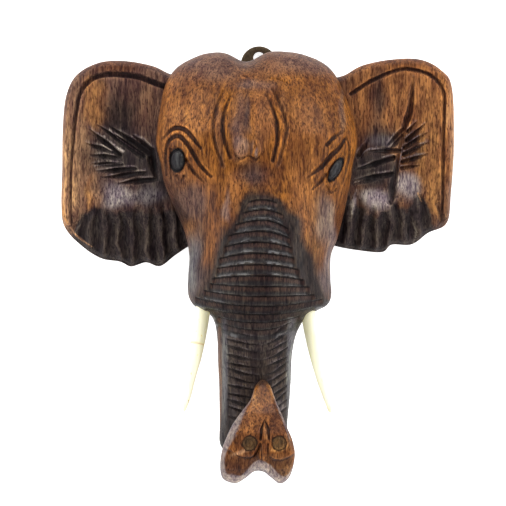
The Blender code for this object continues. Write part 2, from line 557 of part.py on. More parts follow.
def closed_mesh(name, rings, scale):
    """One closed mesh from rings of points, with a middle point that closes each end, faces out."""
    row_count, column_count = rings.shape[:2]
    mesh = bmesh.new()
    rows = [[mesh.verts.new(point) for point in ring * scale] for ring in rings]
    first = mesh.verts.new(rings[0].mean(axis=0) * scale)
    last = mesh.verts.new(rings[-1].mean(axis=0) * scale)
    for k in range(column_count):
        after = (k + 1) % column_count
        mesh.faces.new((first, rows[0][after], rows[0][k]))
        mesh.faces.new((last, rows[-1][k], rows[-1][after]))
        for r in range(row_count - 1):
            mesh.faces.new((rows[r][k], rows[r][after], rows[r + 1][after], rows[r + 1][k]))
    bmesh.ops.recalc_face_normals(mesh, faces=mesh.faces)
    if mesh.calc_volume(signed=True) < 0:
        bmesh.ops.reverse_faces(mesh, faces=mesh.faces)
    data = bpy.data.meshes.new(name)
    mesh.to_mesh(data)
    mesh.free()
    made = bpy.data.objects.new(name, data)
    bpy.context.collection.objects.link(made)
    return made


def hide_cutter(cutter):
    """Marks a helper that only cuts or joins, so that it isn't part of the model."""
    cutter.hide_render = True
    cutter.display_type = "WIRE"


def boolean(target, other, operation):
    """Joins the other body to the target, or cuts it out of it."""
    step = target.modifiers.new(f"{operation.lower()} {other.name}", "BOOLEAN")
    step.operation = operation
    step.solver = "EXACT"
    step.object = other
    hide_cutter(other)


def box(name, low, high):
    """A plain box between two corners."""
    mesh = bmesh.new()
    bmesh.ops.create_cube(mesh, size=1.0)
    low, high = np.asarray(low), np.asarray(high)
    bmesh.ops.scale(mesh, vec=tuple(high - low), verts=mesh.verts)
    bmesh.ops.translate(mesh, vec=tuple((low + high) / 2), verts=mesh.verts)
    return finish_object(name, mesh)


def disc(name, radius, front, behind, sides, across=0.0, height=0.0):
    """A cylinder along Y between two depths in front of the wall."""
    mesh = bmesh.new()
    length = front - behind
    upright = Matrix.Rotation(math.radians(90), 3, "X")
    bmesh.ops.create_cone(mesh, cap_ends=True, segments=sides, radius1=radius, radius2=radius, depth=length)
    bmesh.ops.rotate(mesh, cent=(0, 0, 0), matrix=upright, verts=mesh.verts)
    bmesh.ops.translate(mesh, vec=(across, -(front + behind) / 2, height), verts=mesh.verts)
    return finish_object(name, mesh)


def finish_object(name, mesh):
    """Puts a bmesh into a new linked object."""
    data = bpy.data.meshes.new(name)
    mesh.to_mesh(data)
    mesh.free()
    made = bpy.data.objects.new(name, data)
    bpy.context.collection.objects.link(made)
    return made


def tusk_line(line):
    """The tusk's middle line in metres, run out from where it leaves the wood to the tusk's own length."""
    line = np.asarray(line) * SHARE * np.array([1.0, -1.0, 1.0])
    steps = np.linalg.norm(np.diff(line, axis=0), axis=1)
    return line[0] + (line - line[0]) * TUSK_LENGTH / steps.sum()


def tusk_body(name, line, growth, places, sides):
    """A round tapered body round the tusk's middle line, wider by growth, over the given places."""
    middle = along(tusk_line(line), places)
    radius = along(TUSK_TAPER, places)[:, 0] * TUSK_DIAMETER / 2 + growth
    ahead = np.gradient(middle, axis=0)
    ahead /= np.linalg.norm(ahead, axis=1, keepdims=True)
    middle[0] -= ahead[0] * growth
    sideways = np.cross(ahead, [0.0, 1.0, 0.0])
    sideways /= np.linalg.norm(sideways, axis=1, keepdims=True)
    forward = np.cross(sideways, ahead)
    angle = np.linspace(0.0, 2 * math.pi, sides, endpoint=False)
    ring = np.cos(angle)[None, :, None] * sideways[:, None] + np.sin(angle)[None, :, None] * forward[:, None]
    return closed_mesh(name, middle[:, None] + ring * radius[:, None, None], 1.0)


def smooth_shading(target, degrees):
    """Smooth faces with sharp edges kept past the given angle."""
    target.data.shade_smooth()
    target.data.set_sharp_from_angle(angle=math.radians(degrees))


def thinned(name, rings, triangles):
    """A closed form whose even grid is thinned to so many triangles, which gather where it is carved."""
    form = closed_mesh(name, rings, SHARE)
    step = form.modifiers.new("thin", "DECIMATE")
    step.ratio = triangles / (2 * rings.shape[0] * rings.shape[1])
    return form


def carved_head(tusk_cutters, plate_cutters):
    """Head, trunk, ears and trunk end joined, cut flat behind, with sockets, bores and a rebate."""
    head = thinned("carved_head", head_form(*HEAD_GRID), HEAD_TRIANGLES)
    ears = (
        ("ear_left_form", EAR_LEFT_EDGE, EAR_CENTRE_LEFT, EAR_LEFT_CUTS, EAR_LEFT_FLUTES),
        ("ear_right_form", EAR_RIGHT_EDGE, EAR_CENTRE_RIGHT, EAR_RIGHT_CUTS, EAR_RIGHT_FLUTES),
    )
    for name, edge, centre, cuts, flutes in ears:
        boolean(head, thinned(name, ear_form(edge, centre, cuts, flutes, *EAR_GRID), EAR_TRIANGLES), "UNION")
    boolean(head, thinned("tip_form", tip_form(*TIP_GRID), TIP_TRIANGLES), "UNION")
    room = CARVING_HEIGHT
    wall = box("wall_cutter", (-room, 0.0, -2 * room), (room, room, room))
    boolean(head, wall, "DIFFERENCE")
    for name, (across, height) in (("nostril_left", NOSTRIL_LEFT), ("nostril_right", NOSTRIL_RIGHT)):
        face = float(tip_face(height)) * SHARE
        floor = face - NOSTRIL_DEPTH
        radius = NOSTRIL_DIAMETER / 2
        bore = disc(name, radius, 1.2 * face, floor, NOSTRIL_SIDES, across * SHARE, height * SHARE)
        boolean(head, bore, "DIFFERENCE")
    for cutter in tusk_cutters + plate_cutters:
        boolean(head, cutter, "DIFFERENCE")
    return head


def tusks():
    """The two tusks, and the slightly larger bodies that cut their sockets."""
    made, cutters = [], []
    rows, sides = TUSK_GRID
    peg_share = TUSK_PEG / TUSK_LENGTH
    for name, line in (("tusk_left", TUSK_LEFT_LINE), ("tusk_right", TUSK_RIGHT_LINE)):
        made.append(tusk_body(name, line, 0.0, np.linspace(0.0, 1.0, rows), sides))
        socket = np.linspace(0.0, 2.0 * peg_share, SOCKET_ROWS)
        cutters.append(tusk_body(f"{name}_socket", line, TUSK_CLEARANCE, socket, sides))
    return made, cutters


def hanger():
    """The plate with its eye, its two screws, and the bodies that cut the room for them in the wood."""
    floor = PLATE_THICKNESS + 2 * FIT_CLEARANCE + SCREW_HEAD_HEIGHT
    plate_front = floor - FIT_CLEARANCE
    plate_back = plate_front - PLATE_THICKNESS
    plate = disc("hanger_plate", PLATE_DIAMETER / 2, plate_front, plate_back, PLATE_SIDES, height=-EYE_RISE)
    eye_bore = disc("eye_bore", EYE_DIAMETER / 2, 2 * plate_front, -plate_front, EYE_SIDES)
    boolean(plate, eye_bore, "DIFFERENCE")
    rebate = PLATE_DIAMETER / 2 + FIT_CLEARANCE
    cutters = [disc("rebate", rebate, floor, -floor, PLATE_SIDES, height=-EYE_RISE)]
    screws = []
    head_front = plate_back - FIT_CLEARANCE
    head_back = head_front - SCREW_HEAD_HEIGHT
    shank_root = (head_front + head_back) / 2
    height = -EYE_RISE - SCREW_DROP
    radius = SCREW_DIAMETER / 2
    hole = radius + FIT_CLEARANCE
    for name, side in (("hanger_screw_left", -1), ("hanger_screw_right", 1)):
        across = side * SCREW_SPACING / 2
        screw = disc(name, SCREW_HEAD_DIAMETER / 2, head_front, head_back, SCREW_HEAD_SIDES, across, height)
        shank = disc(f"{name}_shank", radius, SCREW_LENGTH, shank_root, SCREW_SIDES, across, height)
        boolean(screw, shank, "UNION")
        screws.append(screw)
        bore_end = 2 * plate_front
        bore = disc(f"{name}_plate_hole", hole, bore_end, -plate_front, SCREW_SIDES, across, height)
        boolean(plate, bore, "DIFFERENCE")
        pilot_end = SCREW_LENGTH + FIT_CLEARANCE
        cutters.append(disc(f"{name}_pilot", hole, pilot_end, floor / 2, SCREW_SIDES, across, height))
    return plate, screws, cutters


def main():
    for old in list(bpy.data.objects):
        bpy.data.objects.remove(old, do_unlink=True)
    tusk_pieces, tusk_cutters = tusks()
    plate, screws, plate_cutters = hanger()
    head = carved_head(tusk_cutters, plate_cutters)
    head.data.materials.append(material("carved_wood", WOOD_COLOUR, WOOD_ROUGHNESS, 0.0))
    smooth_shading(head, 50)
    ivory = material("tusk_cream", TUSK_COLOUR, TUSK_ROUGHNESS, 0.0)
    for tusk in tusk_pieces:
        tusk.data.materials.append(ivory)
        smooth_shading(tusk, 60)
    brass = material("dark_brass", BRASS_COLOUR, BRASS_ROUGHNESS, 1.0)
    for piece in [plate] + screws:
        piece.data.materials.append(brass)
        smooth_shading(piece, 40)


main()
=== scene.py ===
import math

import bpy
import numpy as np
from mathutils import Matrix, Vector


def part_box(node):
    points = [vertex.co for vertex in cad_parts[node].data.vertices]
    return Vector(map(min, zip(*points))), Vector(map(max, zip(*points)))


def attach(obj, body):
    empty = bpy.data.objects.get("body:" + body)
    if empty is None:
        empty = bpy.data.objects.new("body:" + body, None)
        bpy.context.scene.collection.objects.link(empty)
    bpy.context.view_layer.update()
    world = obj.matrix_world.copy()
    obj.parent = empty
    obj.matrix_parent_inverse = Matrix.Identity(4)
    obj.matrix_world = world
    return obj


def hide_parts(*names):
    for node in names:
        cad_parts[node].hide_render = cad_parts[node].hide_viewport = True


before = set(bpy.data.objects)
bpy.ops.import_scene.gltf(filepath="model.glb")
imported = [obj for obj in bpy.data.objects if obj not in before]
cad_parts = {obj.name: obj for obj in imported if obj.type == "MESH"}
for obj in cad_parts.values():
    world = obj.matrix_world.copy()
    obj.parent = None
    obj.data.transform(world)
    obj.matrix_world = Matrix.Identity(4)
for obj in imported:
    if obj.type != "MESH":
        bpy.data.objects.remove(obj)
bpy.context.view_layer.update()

mm = 0.001
fine = 1.0  # grids are coarser in a quick trial


# camera: straight in front of the wall, far back with a long lens
cameraView = {
    "across": -0.0033, "height": -0.10725,  # what the middle of the picture looks at
    "distance": 1.2,  # from the wall
    "seenWidth": 0.2783,  # what the picture spans at the wall
    "sensor": 36.0,
}


def makeCamera(view):
    # the lens is to the sensor's width as the distance is to what the picture spans
    data = bpy.data.cameras.new("camera")
    data.sensor_width = view["sensor"]
    data.lens = view["sensor"] * view["distance"] / view["seenWidth"]
    data.clip_end = 10.0
    camera = bpy.data.objects.new("camera", data)
    camera.location = (view["across"], -view["distance"], view["height"])
    camera.rotation_euler = (math.radians(90), 0.0, 0.0)
    bpy.context.scene.collection.objects.link(camera)
    bpy.context.scene.camera = camera


makeCamera(cameraView)
print("camera done")


# curves and carving, all in millimetres: across, height


def along(rows, places):
    # cubic through equally spaced rows, slopes from the rows on either side; places run from 0 to 1
    rows = np.asarray(rows, float)
    rows = rows[:, None] if rows.ndim == 1 else rows
    slopes = np.gradient(rows, axis=0)
    spot = np.clip(np.asarray(places, float), 0.0, 1.0) * (len(rows) - 1)
    low = np.minimum(spot.astype(int), len(rows) - 2)
    part = (spot - low)[:, None]
    rise = rows[low + 1] - rows[low]
    curve = rows[low] + part * slopes[low]
    curve += part**2 * (3 * rise - 2 * slopes[low] - slopes[low + 1])
    return curve + part**3 * (slopes[low] + slopes[low + 1] - 2 * rise)


def evenly(curve, count, spans, closed=False):
    # the curve cut again at equal lengths of its spans
    length = np.concatenate([[0.0], np.cumsum(np.linalg.norm(np.diff(spans, axis=0), axis=1))])
    even = np.linspace(0.0, length[-1], count, endpoint=not closed)
    return np.stack([np.interp(even, length, curve[:, k]) for k in range(curve.shape[1])], axis=1)


def roundLoop(points, count):
    # smooth closed curve through the points
    points = np.asarray(points, float)
    wrapped = np.vstack([points[-2:], points, points[:3]])
    total = len(wrapped) - 1
    dense = along(wrapped, np.linspace(2 / total, (2 + len(points)) / total, 60 * len(points)))
    return evenly(dense, count, dense, closed=True)


def wander(across, height, seed, size, amount):
    # slow sideways drift of a hand-held tool: sum of three sines with seeded directions
    draw = np.random.default_rng(seed)
    total = np.zeros_like(across)
    for angle, phase in zip(draw.uniform(0, math.pi, 3), draw.uniform(0, 2 * math.pi, 3)):
        total += np.sin((across * math.cos(angle) + height * math.sin(angle)) / size * 2 * math.pi + phase)
    return amount * total / 3


def cutDepth(cuts, across, height, lean=0.5):
    # gouge cuts: the deepest point lies at the lean's share of the width, the depth goes as 1 - (1 - side)^2.5
    # and side runs from 0 at either edge to 1 there; where cuts cross, the deepest counts
    deepest = np.zeros_like(across)
    flatX, flatZ, flatDeep = across.ravel(), height.ravel(), deepest.ravel()
    for points, widths, depth in cuts:
        line = np.asarray(points, float)
        if len(points) > 2:
            line = along(points, np.linspace(0.0, 1.0, 4 * len(points) - 3))
        steps = np.linalg.norm(np.diff(line, axis=0), axis=1)
        run = np.concatenate([[0.0], np.cumsum(steps)]) / steps.sum()
        reach = max(widths) / 2
        low, high = line.min(axis=0) - reach, line.max(axis=0) + reach
        near = np.flatnonzero((flatX > low[0]) & (flatX < high[0]) & (flatZ > low[1]) & (flatZ < high[1]))
        x, z = flatX[near], flatZ[near]
        best = np.zeros_like(x)
        for k in range(len(line) - 1):
            step = line[k + 1] - line[k]
            gone = (x - line[k, 0]) * step[0] + (z - line[k, 1]) * step[1]
            place = np.clip(gone / (step @ step), 0.0, 1.0)
            gap = np.hypot(x - line[k, 0] - place * step[0], z - line[k, 1] - place * step[1])
            at = run[k] + (run[k + 1] - run[k]) * place
            width = np.interp(at, np.linspace(0.0, 1.0, len(widths)), widths)
            hand = np.sign((x - line[k, 0]) * step[1] - (z - line[k, 1]) * step[0])
            spot = 0.5 + hand * gap / np.maximum(width, 0.05)
            side = np.clip(np.minimum(spot / lean, (1.0 - spot) / (1.0 - lean)), 0.0, 1.0)
            best = np.maximum(best, depth * width / max(widths) * (1.0 - (1.0 - side) ** 2.5))
        flatDeep[near] = np.maximum(flatDeep[near], best)
    return flatDeep.reshape(across.shape)


def fluteDepth(flutes, across, height):
    # round-bottomed gouge channels that widen and deepen from their top to the ear's lower edge
    deepest = np.zeros_like(across)
    for top, bottom, widthTop, widthBottom, depth in flutes:
        step = np.subtract(bottom, top)
        place = ((across - top[0]) * step[0] + (height - top[1]) * step[1]) / (step @ step)
        held = np.clip(place, 0.0, 1.0)
        gap = np.hypot(across - top[0] - held * step[0], height - top[1] - held * step[1])
        width = widthTop + (widthBottom - widthTop) * held
        bowl = np.clip(1.0 - (2.0 * gap / width) ** 2, 0.0, 1.0)
        start = 1.0 - (1.0 - np.clip(place * 2.2 + 0.25, 0.0, 1.0)) ** 2
        deepest = np.maximum(deepest, depth * start * bowl)
    return deepest


def swell(swells, across, height):
    # sum of bells, each: across, height, half-width, half-height, rise
    total = np.zeros_like(across)
    for middle, level, halfWidth, halfHeight, rise in swells:
        total += rise * np.exp(-(((across - middle) / halfWidth) ** 2) - ((height - level) / halfHeight) ** 2)
    return total


# the carved head: everything that shapes it, in millimetres from the hanging eye
headShape = {
    "rows": (  # height, left, right, front, widest depth, back, squareness
        (2.3, -5.0, -5.0, 21.0, 21.0, 21.0, 2.0), (1.3, -24.0, 16.0, 31.0, 21.0, 10.0, 2.0),
        (-1.8, -35.2, 28.8, 37.5, 21.5, 4.0, 2.1), (-6.6, -43.5, 37.0, 42.5, 22.5, -1.0, 2.2),
        (-13.0, -48.8, 42.0, 46.5, 24.5, -3.5, 2.2), (-21.0, -51.6, 45.4, 50.5, 27.0, -4.0, 2.2),
        (-31.0, -53.2, 49.3, 54.0, 29.5, -4.0, 2.2), (-41.0, -54.8, 51.9, 56.5, 31.0, -4.0, 2.2),
        (-49.0, -55.1, 52.3, 58.0, 31.5, -4.0, 2.2), (-58.5, -52.9, 50.4, 59.5, 31.0, -4.0, 2.15),
        (-66.0, -51.7, 49.2, 60.5, 30.5, -4.0, 2.1), (-73.0, -49.6, 48.2, 61.5, 30.0, -4.0, 2.05),
        (-85.0, -44.6, 45.6, 63.5, 30.0, -4.0, 2.0), (-98.0, -39.4, 42.3, 65.5, 30.5, -4.0, 2.0),
        (-109.0, -37.4, 38.3, 66.5, 31.5, -4.0, 2.0), (-120.0, -38.0, 38.1, 67.0, 32.5, -4.0, 2.0),
        (-129.5, -37.8, 38.6, 66.5, 33.0, -4.0, 2.05), (-134.8, -35.2, 36.4, 66.0, 34.0, -3.0, 2.1),
        (-137.8, -30.2, 31.0, 65.5, 36.0, 3.0, 2.1), (-140.4, -26.0, 26.0, 65.0, 38.0, 11.0, 2.1),
        (-145.0, -23.4, 22.3, 64.0, 39.0, 16.0, 2.1), (-152.0, -22.4, 19.1, 62.5, 39.0, 18.0, 2.1),
        (-163.0, -22.0, 17.3, 60.0, 38.5, 18.5, 2.1), (-175.0, -21.5, 16.8, 58.0, 38.0, 18.5, 2.1),
        (-187.0, -21.1, 16.0, 57.0, 38.0, 19.0, 2.1), (-199.0, -21.1, 15.0, 57.0, 39.5, 21.5, 2.1),
        (-209.0, -20.5, 14.5, 58.0, 43.0, 28.0, 2.1), (-216.5, -13.5, 10.5, 58.0, 48.0, 38.0, 2.1),
        (-219.0, -1.5, -1.5, 52.0, 52.0, 52.0, 2.0),
    ),
    "swells": (  # across, height, half-width, half-height, rise
        (-5.5, -37.0, 10.5, 14.0, 2.6), (-6.4, -50.0, 8.0, 7.0, 2.6), (-5.5, -64.0, 10.0, 5.0, -2.0),
        (-10.0, -53.5, 3.2, 4.2, 1.6), (-1.8, -54.0, 2.4, 3.4, 1.4), (-5.4, -52.0, 1.4, 6.0, -1.4),
        (-7.6, -33.0, 2.2, 9.0, -0.9), (0.3, -106.0, 17.0, 30.0, 2.5),
        (-30.0, -44.0, 14.0, 7.0, 1.4), (28.0, -46.0, 14.0, 7.0, 1.4),
        (-33.0, -78.0, 10.0, 14.0, -1.6), (34.0, -82.0, 10.0, 14.0, -1.6),
    ),
    "cleft": (-7.0, 9.0, 6.2),  # across, spread, fall
    "grid": (560, 330, 44),  # rows, columns in front, columns behind
    "triangles": 195000,  # left once the joined mesh is thinned
}
eyeLeft = {"across": -43.4, "height": -58.2, "halfWidth": 3.6, "halfHeight": 5.2, "lean": 0.0}
eyeRight = {"across": 40.4, "height": -63.3, "halfWidth": 2.7, "halfHeight": 5.4, "lean": 0.45}
faceCuts = (
    (((-51.0, -46.8), (-47.0, -42.6), (-43.4, -41.2), (-38.8, -42.6), (-34.8, -46.8), (-30.8, -52.2)),
     (1.4, 3.2, 3.2, 2.2), 1.4),
    (((-49.4, -65.6), (-49.8, -56.4), (-48.2, -48.4), (-43.0, -45.4), (-38.8, -48.8), (-34.8, -55.0),
      (-30.8, -61.6), (-25.4, -67.2)), (1.9, 2.2, 3.2, 3.0, 2.2), 1.4),
    (((-38.6, -58.4), (-34.8, -64.4), (-28.8, -70.6)), (3.0, 2.7, 1.4), 1.1),
    (((-47.0, -52.0), (-47.0, -69.4)), (1.9, 1.6), 0.8),
    (((-43.6, -66.4), (-42.6, -68.8)), (2.2, 1.1), 0.8),
    (((-39.8, -66.8), (-41.4, -69.4)), (2.2, 1.1), 0.8),
    (((35.6, -50.4), (39.6, -46.2), (44.6, -43.0)), (3.0, 2.7, 1.4), 1.1),
    (((25.2, -67.8), (33.0, -61.8), (37.6, -56.2), (42.2, -52.0), (45.4, -47.0)), (1.6, 3.2, 3.2, 2.2), 1.4),
    (((27.8, -73.8), (32.6, -69.4), (35.2, -65.8)), (1.4, 2.7, 2.4), 1.0),
    (((46.2, -45.8), (48.0, -53.0), (46.4, -62.0), (44.0, -70.4)), (1.6, 2.2, 1.6), 0.9),
    (((36.4, -72.0), (37.8, -75.4), (41.0, -74.0)), (1.6, 2.2, 1.4), 0.8),
    (((-13.6, -53.6), (-10.4, -58.2), (-5.6, -56.4), (-1.6, -58.4), (1.8, -54.4)), (1.0, 2.0, 1.4, 2.0, 1.0),
     0.8),
    (((5.7, -15.0), (11.0, -16.0), (16.2, -18.7)), (0.7, 0.8, 0.5), 0.35),
    (((-8.2, -13.6), (-6.4, -14.4)), (1.2, 1.0), 0.6),
    (((-15.2, -25.0), (-17.6, -31.0), (-19.2, -38.0), (-18.8, -45.4), (-17.0, -52.2), (-15.0, -57.4)),
     (1.6, 3.2, 2.7), 1.2),
    (((-18.8, -22.0), (-22.0, -28.8), (-24.0, -37.6), (-24.0, -45.4), (-22.0, -54.2), (-18.8, -62.0)),
     (1.6, 2.7, 1.9), 0.9),
    (((4.0, -24.6), (6.4, -30.2), (8.8, -37.0), (9.4, -42.2), (9.2, -49.4), (7.2, -59.0)), (1.6, 3.2, 2.7),
     1.2),
    (((6.8, -21.0), (10.4, -27.8), (12.8, -34.2), (14.4, -41.4), (13.2, -49.4), (10.0, -61.0)),
     (1.9, 2.7, 1.9), 0.9),
)
trunkCuts = {
    # height of the wall in the middle, left end, right end, fall to the left end, fall to the right end
    "steps": (
        (-79.6, -6.0, 9.5, 1.6, 1.8), (-84.9, -8.5, 12.5, 1.8, 2.8), (-90.4, -12.5, 15.2, 2.4, 4.6),
        (-96.1, -16.0, 16.0, 2.4, 3.8), (-101.8, -18.4, 17.0, 2.5, 3.0), (-107.6, -21.0, 18.4, 2.8, 2.6),
        (-113.5, -22.6, 20.6, 2.0, 2.7), (-119.2, -24.6, 23.6, 1.6, 2.4), (-124.8, -26.4, 26.6, -1.4, 0.4),
        (-129.9, -29.4, 29.4, -3.0, -0.6), (-135.0, -34.0, 33.6, -4.2, -3.4),
        (-139.4, -29.0, 30.0, -3.0, -3.4), (-143.6, -23.0, 22.6, -3.0, -3.6),
        (-147.6, -19.4, 18.4, -3.4, -5.0),
    ),
    "wall": 0.6, "run": 5.2, "depth": 1.05, "end": 1.6,  # widths of wall and floor, fall, width at the ends
    "chevronTop": -151.5, "chevronBottom": -196.0, "chevrons": 12, "chevronMiddle": 1.6,
    "lean": 0.3, "reach": (-17.4, 15.2), "rise": (3.2, 6.6),  # left and right
    "broad": (1.5, 2.6), "deep": 1.1, "seed": 7,
    "scorch": (  # height, left and right edge of the near-black skin
        (-74.5, -4.0, 5.0), (-80.0, -10.0, 14.0), (-90.0, -15.5, 20.0), (-100.0, -21.0, 24.5),
        (-110.0, -25.0, 27.5), (-124.0, -29.5, 31.5), (-132.0, -35.0, 38.0), (-138.0, -60.0, 60.0),
    ),
    "scorchSoft": 5.0,
}


def trunkSteps(shape, across, height):
    # gouged steps: a steep wall down from each line, then a scooped floor that comes back out over the run,
    # depth as 1 - (share of the run)^2; each line falls with the square of the share of its half length;
    # the second result is how far a point lies below its wall
    deepest, below = np.zeros_like(across), np.full_like(across, 50.0)
    for level, left, right, fallLeft, fallRight in shape["steps"]:
        share = (across - (left + right) / 2) / ((right - left) / 2)
        drop = level - share**2 * np.where(share < 0, fallLeft, fallRight) - height
        inside = np.clip((1.0 - np.abs(share)) * (right - left) / 2 / shape["end"], 0.0, 1.0)
        wall = np.clip(drop / shape["wall"] + 1.0, 0.0, 1.0)
        depth = shape["depth"] * inside * wall * (1.0 - np.clip(drop / shape["run"], 0.0, 1.0) ** 2)
        below = np.where((depth > deepest) & (inside > 0.0), drop, below)
        deepest = np.maximum(deepest, depth)
    return deepest, below


def trunkLines(shape):
    # rising strokes to either side of the trunk's middle, evenly spaced down its length
    draw = np.random.default_rng(shape["seed"])
    cuts = []
    for place in np.linspace(0.0, 1.0, shape["chevrons"]):
        level = shape["chevronTop"] + (shape["chevronBottom"] - shape["chevronTop"]) * place
        for reach, rise in zip(shape["reach"], shape["rise"]):
            middle = shape["chevronMiddle"] + draw.uniform(-0.6, 0.6)
            end = (middle + (reach - middle) * (1.0 - 0.08 * place), level + rise + draw.uniform(-0.9, 0.9))
            half = ((middle + end[0]) / 2, level + rise * 0.36 + draw.uniform(-0.4, 0.4))
            broad = draw.uniform(*shape["broad"])
            cuts.append((((middle, level), half, end), (0.5, 0.6 * broad, broad, 0.5 * broad), shape["deep"]))
    return tuple(cuts)


def eyeRing(eye, across, height):
    # distance from the eye's middle as a share of its oval, which may lean: 1 on the oval
    side = (across - eye["across"] - eye["lean"] * (height - eye["height"])) / eye["halfWidth"]
    return np.hypot(side, (height - eye["height"]) / eye["halfHeight"])


def eyeRise(eye, across, height):
    # a ball, as the root of 1 - ring^2, that stands in a cut round the oval
    ring = eyeRing(eye, across, height)
    ball = 1.1 * np.sqrt(np.clip(1.0 - ring**2, 0.0, 1.0))
    return ball - 1.4 * np.clip(1.0 - np.abs(ring - 1.12) / 0.34, 0.0, 1.0)


def headSurface(shape, cuts):
    # rings down the head: a superellipse in front and a squarer one behind, pushed out along the normal by the relief
    rowCount, frontCount, backCount = (int(n * fine) for n in shape["grid"])
    dense = along(shape["rows"], np.linspace(0.0, 1.0, 3000))
    spans = np.stack([dense[:, 0], (dense[:, 2] - dense[:, 1]) / 2, dense[:, 3] * 0.6, dense[:, 5] * 0.5],
                     axis=1)
    rows = evenly(dense, rowCount + 2, spans)[1:-1]
    front = np.linspace(0.0, math.pi, frontCount, endpoint=False)
    behind = np.linspace(math.pi, 2 * math.pi, backCount, endpoint=False)
    angle = np.concatenate([front, behind])[None, :]
    height, left, right, depth, widest, back, square = (rows[:, k : k + 1] for k in range(7))
    cosine, sine = np.cos(angle), np.sin(angle)
    power = np.where(sine >= 0, 2.0 / square, 0.5)
    across = (left + right) / 2 + (right - left) / 2 * np.sign(cosine) * np.abs(cosine) ** power
    out = widest + np.where(sine >= 0, depth - widest, widest - back) * np.sign(sine) * np.abs(sine) ** power
    level = np.broadcast_to(height, across.shape).copy()
    middle, spread, fall = shape["cleft"]
    nearTop = np.clip((level + 30.0) / 30.0, 0.0, 1.0)
    level -= fall * np.exp(-(((across - middle) / spread) ** 2)) * nearTop ** 2
    points = np.stack([across, -out, level], axis=2)
    down = np.gradient(points, axis=0)
    turn = (np.roll(points, -1, axis=1) - np.roll(points, 1, axis=1)) / 2
    normal = np.cross(turn, down)
    normal /= np.maximum(np.linalg.norm(normal, axis=2, keepdims=True), 1e-9)
    normal *= np.sign(np.sum(normal * (points - np.array([0.0, -30.0, -90.0])), axis=2).mean())
    facing = np.clip((out - widest) / 5.0, 0.0, 1.0)
    x = across + wander(across, level, 1, 23.0, 0.25)
    z = level + wander(across, level, 2, 19.0, 0.25)
    strokes = cutDepth(trunkLines(trunkCuts), x, z, trunkCuts["lean"])
    carving = np.maximum(np.maximum(cutDepth(cuts, x, z), strokes), trunkSteps(trunkCuts, x, z)[0])
    relief = swell(shape["swells"], across, level) - carving
    relief += eyeRise(eyeLeft, across, level) + eyeRise(eyeRight, across, level)
    relief = relief * facing + wander(across, level, 3, 13.0, 0.12) + wander(across, level, 4, 6.0, 0.05)
    return points + normal * relief[:, :, None]


